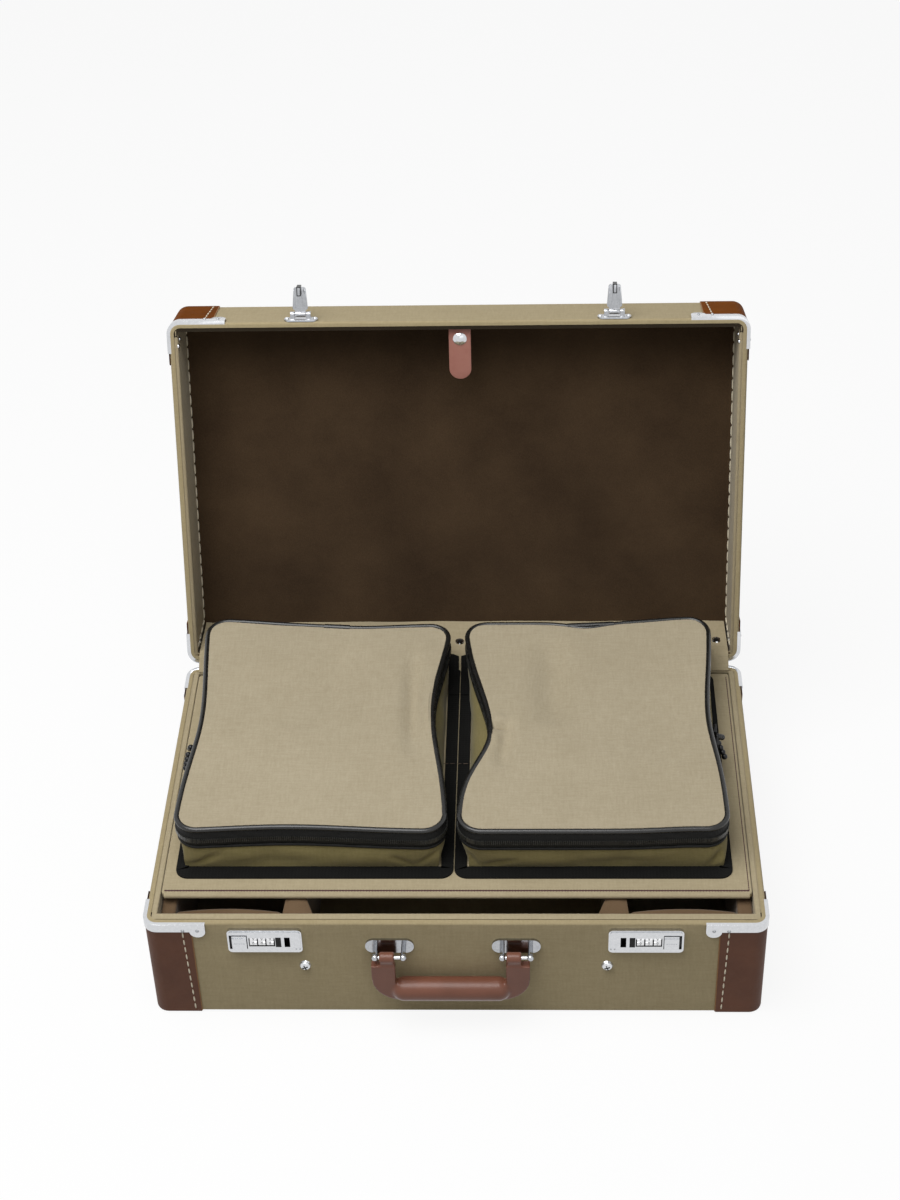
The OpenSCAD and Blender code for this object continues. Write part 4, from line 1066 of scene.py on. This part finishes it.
gusset_block = keep_band(pouch_block([i / 28 for i in range(1, 16)] + [ZIP_LOW], 0.0038), 0, ZIP_LOW)
band_block = keep_band(pouch_block([0.63, 0.69, ZIP_TEETH, 0.80, 0.86, ZIP_HIGH]), ZIP_LOW, ZIP_HIGH)
teeth_block = keep_band(pouch_block([ZIP_TEETH, ZIP_TEETH + 0.02], TOOTH_PITCH), ZIP_TEETH, ZIP_TEETH + 0.02)
top_block = pouch_block([ZIP_HIGH], 0.0036)
drop_faces(top_block, [f for f in top_block.faces if f.normal.z < 0.99])

for side, shape in pouch_shapes.items():
    sign = shape["sign"]

    def gusset_bulge(co, across, along, share, side=side, sign=sign):
        """Sag of the gusset, with the tucks at its front corners."""
        fall = math.sin(math.pi * min(1.0, share / ZIP_LOW))
        out = fall * (0.0018 + 0.0026 * soft_wave(co, 0.032, 3 + sign))
        if along < 0.08:
            for start, end, width, depth in gusset_tucks[side]:
                out -= fall ** 0.5 * depth * crease(across * BLOCK_W, share * 0.049, start, end, width)
        return out

    def band_bulge(co, across, along, share):
        """Crown of the zip band: its two tapes stand out a little round the teeth."""
        return 0.0016 * math.sin(math.pi * (share - ZIP_LOW) / (ZIP_HIGH - ZIP_LOW))

    gusset = shape_pouch(gusset_block.copy(), shape, gusset_bulge)
    gusset_piece = make_piece(f"pouch_{side}_gusset", thick(gusset, CLOTH_T), gusset_cloth,
                              "organiser_panel", [f"pouch_tray_{side}"], crease=60)

    band = shape_pouch(band_block.copy(), shape, band_bulge)
    band_piece = make_piece(f"pouch_{side}_zip_band", thick(band, CLOTH_T), zip_tape,
                            "organiser_panel", [f"pouch_zip_{side}"], crease=60)

    # Zip teeth: a coil of black nylon, drawn tooth by tooth along the middle of the band.
    walk = shape_pouch(teeth_block.copy(), shape, band_bulge)
    walk.normal_update()
    teeth = bmesh.new()
    for f in walk.faces:
        outward = f.normal.copy()
        upward = (Vector((0, 0, 1)) - outward * outward.z).normalized()
        lie = Matrix((upward.cross(outward), upward, outward)).transposed().to_4x4()
        add_block(teeth, f.calc_center_median() + outward * 0.0004, TOOTH_SIZE, lie)
    walk.free()
    teeth_piece = make_piece(f"pouch_{side}_zip_teeth", teeth, nylon, "organiser_panel")
    edge_piece = cord_round(f"pouch_{side}_zip_edge", shape, ZIP_LOW + 0.015, ZIP_EDGE_R, zip_tape,
                            "organiser_panel")

    top = shape_pouch(top_block.copy(), shape)
    rim = {v for e in top.edges if e.is_boundary for v in e.verts}
    for v in top.verts:
        inset = 0.0 if v in rim else 1.0
        lift = 0.0012 + inset * 0.0014 * soft_wave(v.co, 0.075, 9 + sign)
        for start, end, width, depth in top_creases[side]:
            lift -= inset * depth * crease(v.co.x, v.co.y, start, end, width)
        v.co.z += lift
    top_piece = make_piece(f"pouch_{side}_top", thick(top, 0.0016), pouch_cloth,
                           f"pouch_flap_{side}", [f"pouch_flap_{side}"])
    piping_piece = cord_round(f"pouch_{side}_piping", shape, 0.999, PIPING_R, vinyl,
                              f"pouch_flap_{side}", [f"pouch_piping_{side}"])

    # The piping's two ends meet in a vinyl sleeve at the middle of the rear edge.
    sleeve_from, sleeve_to = {"left": (0.48, 0.585), "right": (0.42, 0.61)}[side]
    sleeve = bmesh.new()
    ends = [pouch_point(shape, across, 1.0, 0.999) for across in (sleeve_from, sleeve_to)]
    heading = (ends[1] - ends[0]).normalized()
    lie = Matrix.Translation((ends[0] + ends[1]) / 2) @ heading.to_track_quat("Z", "Y").to_matrix().to_4x4()
    bmesh.ops.create_cone(sleeve, cap_ends=True, segments=16, radius1=PIPING_R + 0.0005,
                          radius2=PIPING_R + 0.0005, depth=(ends[1] - ends[0]).length, matrix=lie)
    sleeve_piece = make_piece(f"pouch_{side}_sleeve", sleeve, vinyl, f"pouch_flap_{side}")

    tape_low, tape_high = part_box(f"pouch_binding_{side}")
    tape_low.y -= TAPE_FRONT_EXTRA
    if sign > 0:
        tape_high.x -= 0.0028
    else:
        tape_low.x += 0.0014
    tape = box_between(tape_low, (tape_high.x, tape_high.y, tape_low.z + TAPE_T))
    round_edges(tape, edges_along(tape, 2), 0.0118, 8)
    plates = [f for f in tape.faces if abs(f.normal.z) > 0.99]
    bmesh.ops.inset_region(tape, faces=plates, thickness=TAPE_W, use_even_offset=True)
    rings = [e for f in plates for e in f.edges]
    drop_faces(tape, plates)
    bmesh.ops.bridge_loops(tape, edges=[e for e in rings if e.is_valid])
    for v in tape.verts:
        from_side = min(v.co.x - tape_low.x, tape_high.x - v.co.x)
        if -0.0002 < v.co.y - tape_low.y - TAPE_W < 0.0008 and from_side > TAPE_W - 0.0002:
            v.co.y += TAPE_FRONT_EXTRA + 0.0010
    make_piece(f"pouch_{side}_binding", tape, tape_and_hole_shade, "organiser_panel",
               [f"pouch_binding_{side}"])

    tail_x = (tape_high.x - TAPE_W, tape_high.x) if sign < 0 else (tape_low.x, tape_low.x + TAPE_W)
    tail = box_between((tail_x[0], 0.130, tape_low.z), (tail_x[1], 0.1682, tape_low.z + TAPE_T + 0.0010))
    make_piece(f"pouch_{side}_binding_tail", tail, tape_and_hole_shade, "organiser_panel")

    for piece in (gusset_piece, band_piece, teeth_piece, edge_piece, top_piece, piping_piece, sleeve_piece):
        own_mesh(piece)

# Dark thread that tacks the two gussets to the panel between the pouches.
dark_thread = twisted_thread("cotton_thread_dark", "#33271C", "#51402F")
tacks = bmesh.new()
sew(tacks, (-0.0225, 0.0297, 0.1178), (0.0215, 0.0295, 0.1178), (0, 0, 1), 0.0062, 0.0060, 0.0004)
sew(tacks, (0.0090, 0.0492, 0.1178), (0.0190, 0.0492, 0.1178), (0, 0, 1), 0.0050, 0.0048, 0.0004)
make_piece("gusset_tacks", tacks, dark_thread, "organiser_panel")

# Zip sliders: die-cast bodies lacquered black, each with a moulded pull on a short cord.
SLIDER_ROUND = 0.0008
KNOB_R = 0.0029
for side, out, pull_out, pull_step in (("left", -1, 0.0056, 0.0008), ("right", 1, 0.0006, 0.0018)):
    for end, away in (("rear", 1), ("front", -1)):
        node = f"zip_slider_{side}_{end}"
        low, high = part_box(node)
        slider = copied_node(node)
        round_edges(slider, sharp_edges(slider, 50), SLIDER_ROUND, 2)
        start = (low + high) / 2
        start.x = low.x if out < 0 else high.x
        for i in range(4):
            step = (out * (pull_out + pull_step * i), away * (-0.004 + 0.0028 * i), 0.0066 - 0.0030 * i)
            bmesh.ops.create_icosphere(slider, subdivisions=2, radius=KNOB_R,
                                       matrix=Matrix.Translation(start + Vector(step)))
        make_piece(node + "_cast", slider, black_steel_and_shade, node, [node])

# Rear gusset: khaki cloth that closes the gap from the panel's back edge to the lid. Two black tapes
# and three metal eyelets are sewn to it.
GUSSET_HALF = 0.2636
GUSSET_FRONT = 0.1660
GUSSET_REACH = 0.0730
gusset_path = ((0.1660, 0.1166), (0.1790, 0.1262), (0.1840, 0.1276), (0.2120, 0.1252), (0.2390, 0.1218))


def along_path(path, share):
    """Point of a path at a share of its steps."""
    step = min(int(share * (len(path) - 1)), len(path) - 2)
    rest = share * (len(path) - 1) - step
    return [a + (b - a) * rest for a, b in zip(path[step], path[step + 1])]


def gusset_place(x, share):
    """Place on the rear gusset, with its slack and the two bulges behind the pouches."""
    y, z = along_path(gusset_path, share)
    slack = math.sin(math.pi * min(1.0, max(0.0, (y - GUSSET_FRONT) / GUSSET_REACH)))
    z += 0.0014 * soft_wave((x, y, 0), 0.05, 5) * slack
    z += 0.0026 * soft_wave((x, 0, 0), 0.06, 11) * share ** 3
    z += 0.0060 * slack * hump(x, -0.090, 0.035) + 0.0045 * slack * hump(x, 0.165, 0.035)
    return Vector((x, y, z))


rear = bmesh.new()
bmesh.ops.create_grid(rear, x_segments=96, y_segments=32, size=0.5)
for v in rear.verts:
    v.co = gusset_place(v.co.x * 2 * GUSSET_HALF, v.co.y + 0.5)
bmesh.ops.recalc_face_normals(rear, faces=rear.faces[:])
thick(rear, CLOTH_T)
rear_cloth = make_piece("rear_gusset_cloth", rear, khaki_cloth, None,
                        ["hinge_gusset", "gusset_eyelets"])

rear_tapes = bmesh.new()
for x_low, x_high in ((-0.2430, -0.0036), (-0.0016, 0.2430)):
    strip = bmesh.new()
    bmesh.ops.create_grid(strip, x_segments=40, y_segments=6, size=0.5)
    for v in strip.verts:
        x = x_low + (x_high - x_low) * (v.co.x + 0.5)
        notch = 0.10 * hump(x, -0.0026, 0.005)
        v.co = gusset_place(x, (0.33 - notch) * (v.co.y + 0.5)) + Vector((0, 0, 0.0006))
    join(rear_tapes, strip)
bmesh.ops.recalc_face_normals(rear_tapes, faces=rear_tapes.faces[:])
thick(rear_tapes, 0.0005)
rear_tape_piece = make_piece("rear_gusset_tapes", rear_tapes, tape_and_hole_shade)

eyelets = bmesh.new()
hole_shades = bmesh.new()
for x in (-0.253, -0.0035, 0.253):
    ring_place = gusset_place(x, 0.655) + Vector((0, 0, 0.0004))
    upright = Matrix.Translation(ring_place) @ Matrix.Rotation(math.radians(-5), 4, "X")
    seat = bmesh.ops.create_cone(eyelets, cap_ends=True, segments=24, radius1=0.0050, radius2=0.0042,
                                 depth=0.0016, matrix=upright)
    rim = [f for f in eyelets.faces if len(f.verts) == 24 and all(v in seat["verts"] for v in f.verts)]
    bmesh.ops.inset_region(eyelets, faces=rim, thickness=0.0018)
    bmesh.ops.translate(eyelets, vec=(0, 0, -0.0006), verts=list({v for f in rim for v in f.verts}))
    # A black disc in each eyelet: painted shade of its open hole.
    bmesh.ops.create_circle(hole_shades, cap_ends=True, segments=24, radius=0.0024,
                            matrix=Matrix.Translation((0, 0, 0.0006)) @ upright)
eyelet_piece = make_piece("gusset_eyelet_rings", eyelets, chrome)
hole_shade_piece = make_piece("gusset_eyelet_hole_shades", hole_shades, tape_and_hole_shade)
for piece in (rear_cloth, rear_tape_piece, eyelet_piece, hole_shade_piece):
    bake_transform(piece)

# Floor and light: a white sweep under a wide overhead softbox, with a weak fill from the front.


def in_sight(material):
    """1 where the camera looks, also by way of a mirror or glass."""
    path = add(material, "LightPath").outputs
    seen = add(material, "Math", {0: path["Is Camera Ray"], 1: path["Is Glossy Ray"]}, operation="MAXIMUM")
    return add(material, "Math", {0: seen, 1: path["Is Transmission Ray"]}, operation="MAXIMUM")


# Matt white paper: it keeps the soft shadow of the case.
paper = new_material("white_paper_sweep")
lit = add(paper, "BsdfDiffuse", {"Color": linear("#B2B2B2")})
plain = add(paper, "Emission", {"Color": (1, 1, 1, 1), "Strength": 1.12})
share = add(paper, "Math", {0: in_sight(paper), 1: 0.8}, operation="MULTIPLY")
both = add(paper, "MixShader", {0: share, 1: lit, 2: plain})
add(paper, "OutputMaterial", {"Surface": both})

sweep = bmesh.new()
bmesh.ops.create_grid(sweep, x_segments=1, y_segments=1, size=6)
floor = linked("floor", as_mesh("floor", sweep))
floor.data.materials.append(paper)

world = bpy.data.worlds.new("studio")
bpy.context.scene.world = world
world.use_nodes = True
world.node_tree.nodes.clear()
ambient = add(world, "Background", {"Color": (1, 1, 1, 1), "Strength": 0.25})
plain = add(world, "Background", {"Color": (1, 1, 1, 1), "Strength": 1.0})
both = add(world, "MixShader", {0: in_sight(world), 1: ambient, 2: plain})
add(world, "OutputWorld", {"Surface": both})


def softbox(name, place, aim, size, power):
    """A square softbox aimed at a point."""
    lamp = bpy.data.lights.new(name, "AREA")
    lamp.shape = "RECTANGLE"
    lamp.size, lamp.size_y = size
    lamp.energy = power
    box = linked(name, lamp)
    box.location = place
    box.rotation_euler = (Vector(aim) - Vector(place)).to_track_quat("-Z", "Y").to_euler()


softbox("overhead", (-0.55, -0.5, 2.3), (0, 0.05, 0.1), (1.9, 1.6), 54)
softbox("front_fill", (0.9, -2.1, 1.5), (0, 0, 0.2), (2.0, 1.2), 3)

# Camera: at the height and distance that the photograph was taken from, found from the corners of
# the base and the lid.
CAMERA_PLACE = (0.06907, -1.52665, 1.55265)
CAMERA_PITCH = 0.67105
CAMERA_YAW = -0.04678
CAMERA_ROLL = -0.03376
CAMERA_LENS = 66.944
camera = linked("camera", bpy.data.cameras.new("camera"))
camera.data.lens = CAMERA_LENS
ahead = Vector((math.sin(CAMERA_YAW) * math.cos(CAMERA_PITCH), math.cos(CAMERA_YAW) * math.cos(CAMERA_PITCH),
                -math.sin(CAMERA_PITCH)))
level = Vector((math.cos(CAMERA_YAW), -math.sin(CAMERA_YAW), 0))
upright = level.cross(ahead)
rightwards = level * math.cos(CAMERA_ROLL) + upright * math.sin(CAMERA_ROLL)
upwards = upright * math.cos(CAMERA_ROLL) - level * math.sin(CAMERA_ROLL)
turned = Matrix((rightwards, upwards, -ahead)).transposed().to_4x4()
camera.matrix_world = Matrix.Translation(CAMERA_PLACE) @ turned
bpy.context.scene.camera = camera
bpy.context.scene.view_settings.view_transform = "Standard"
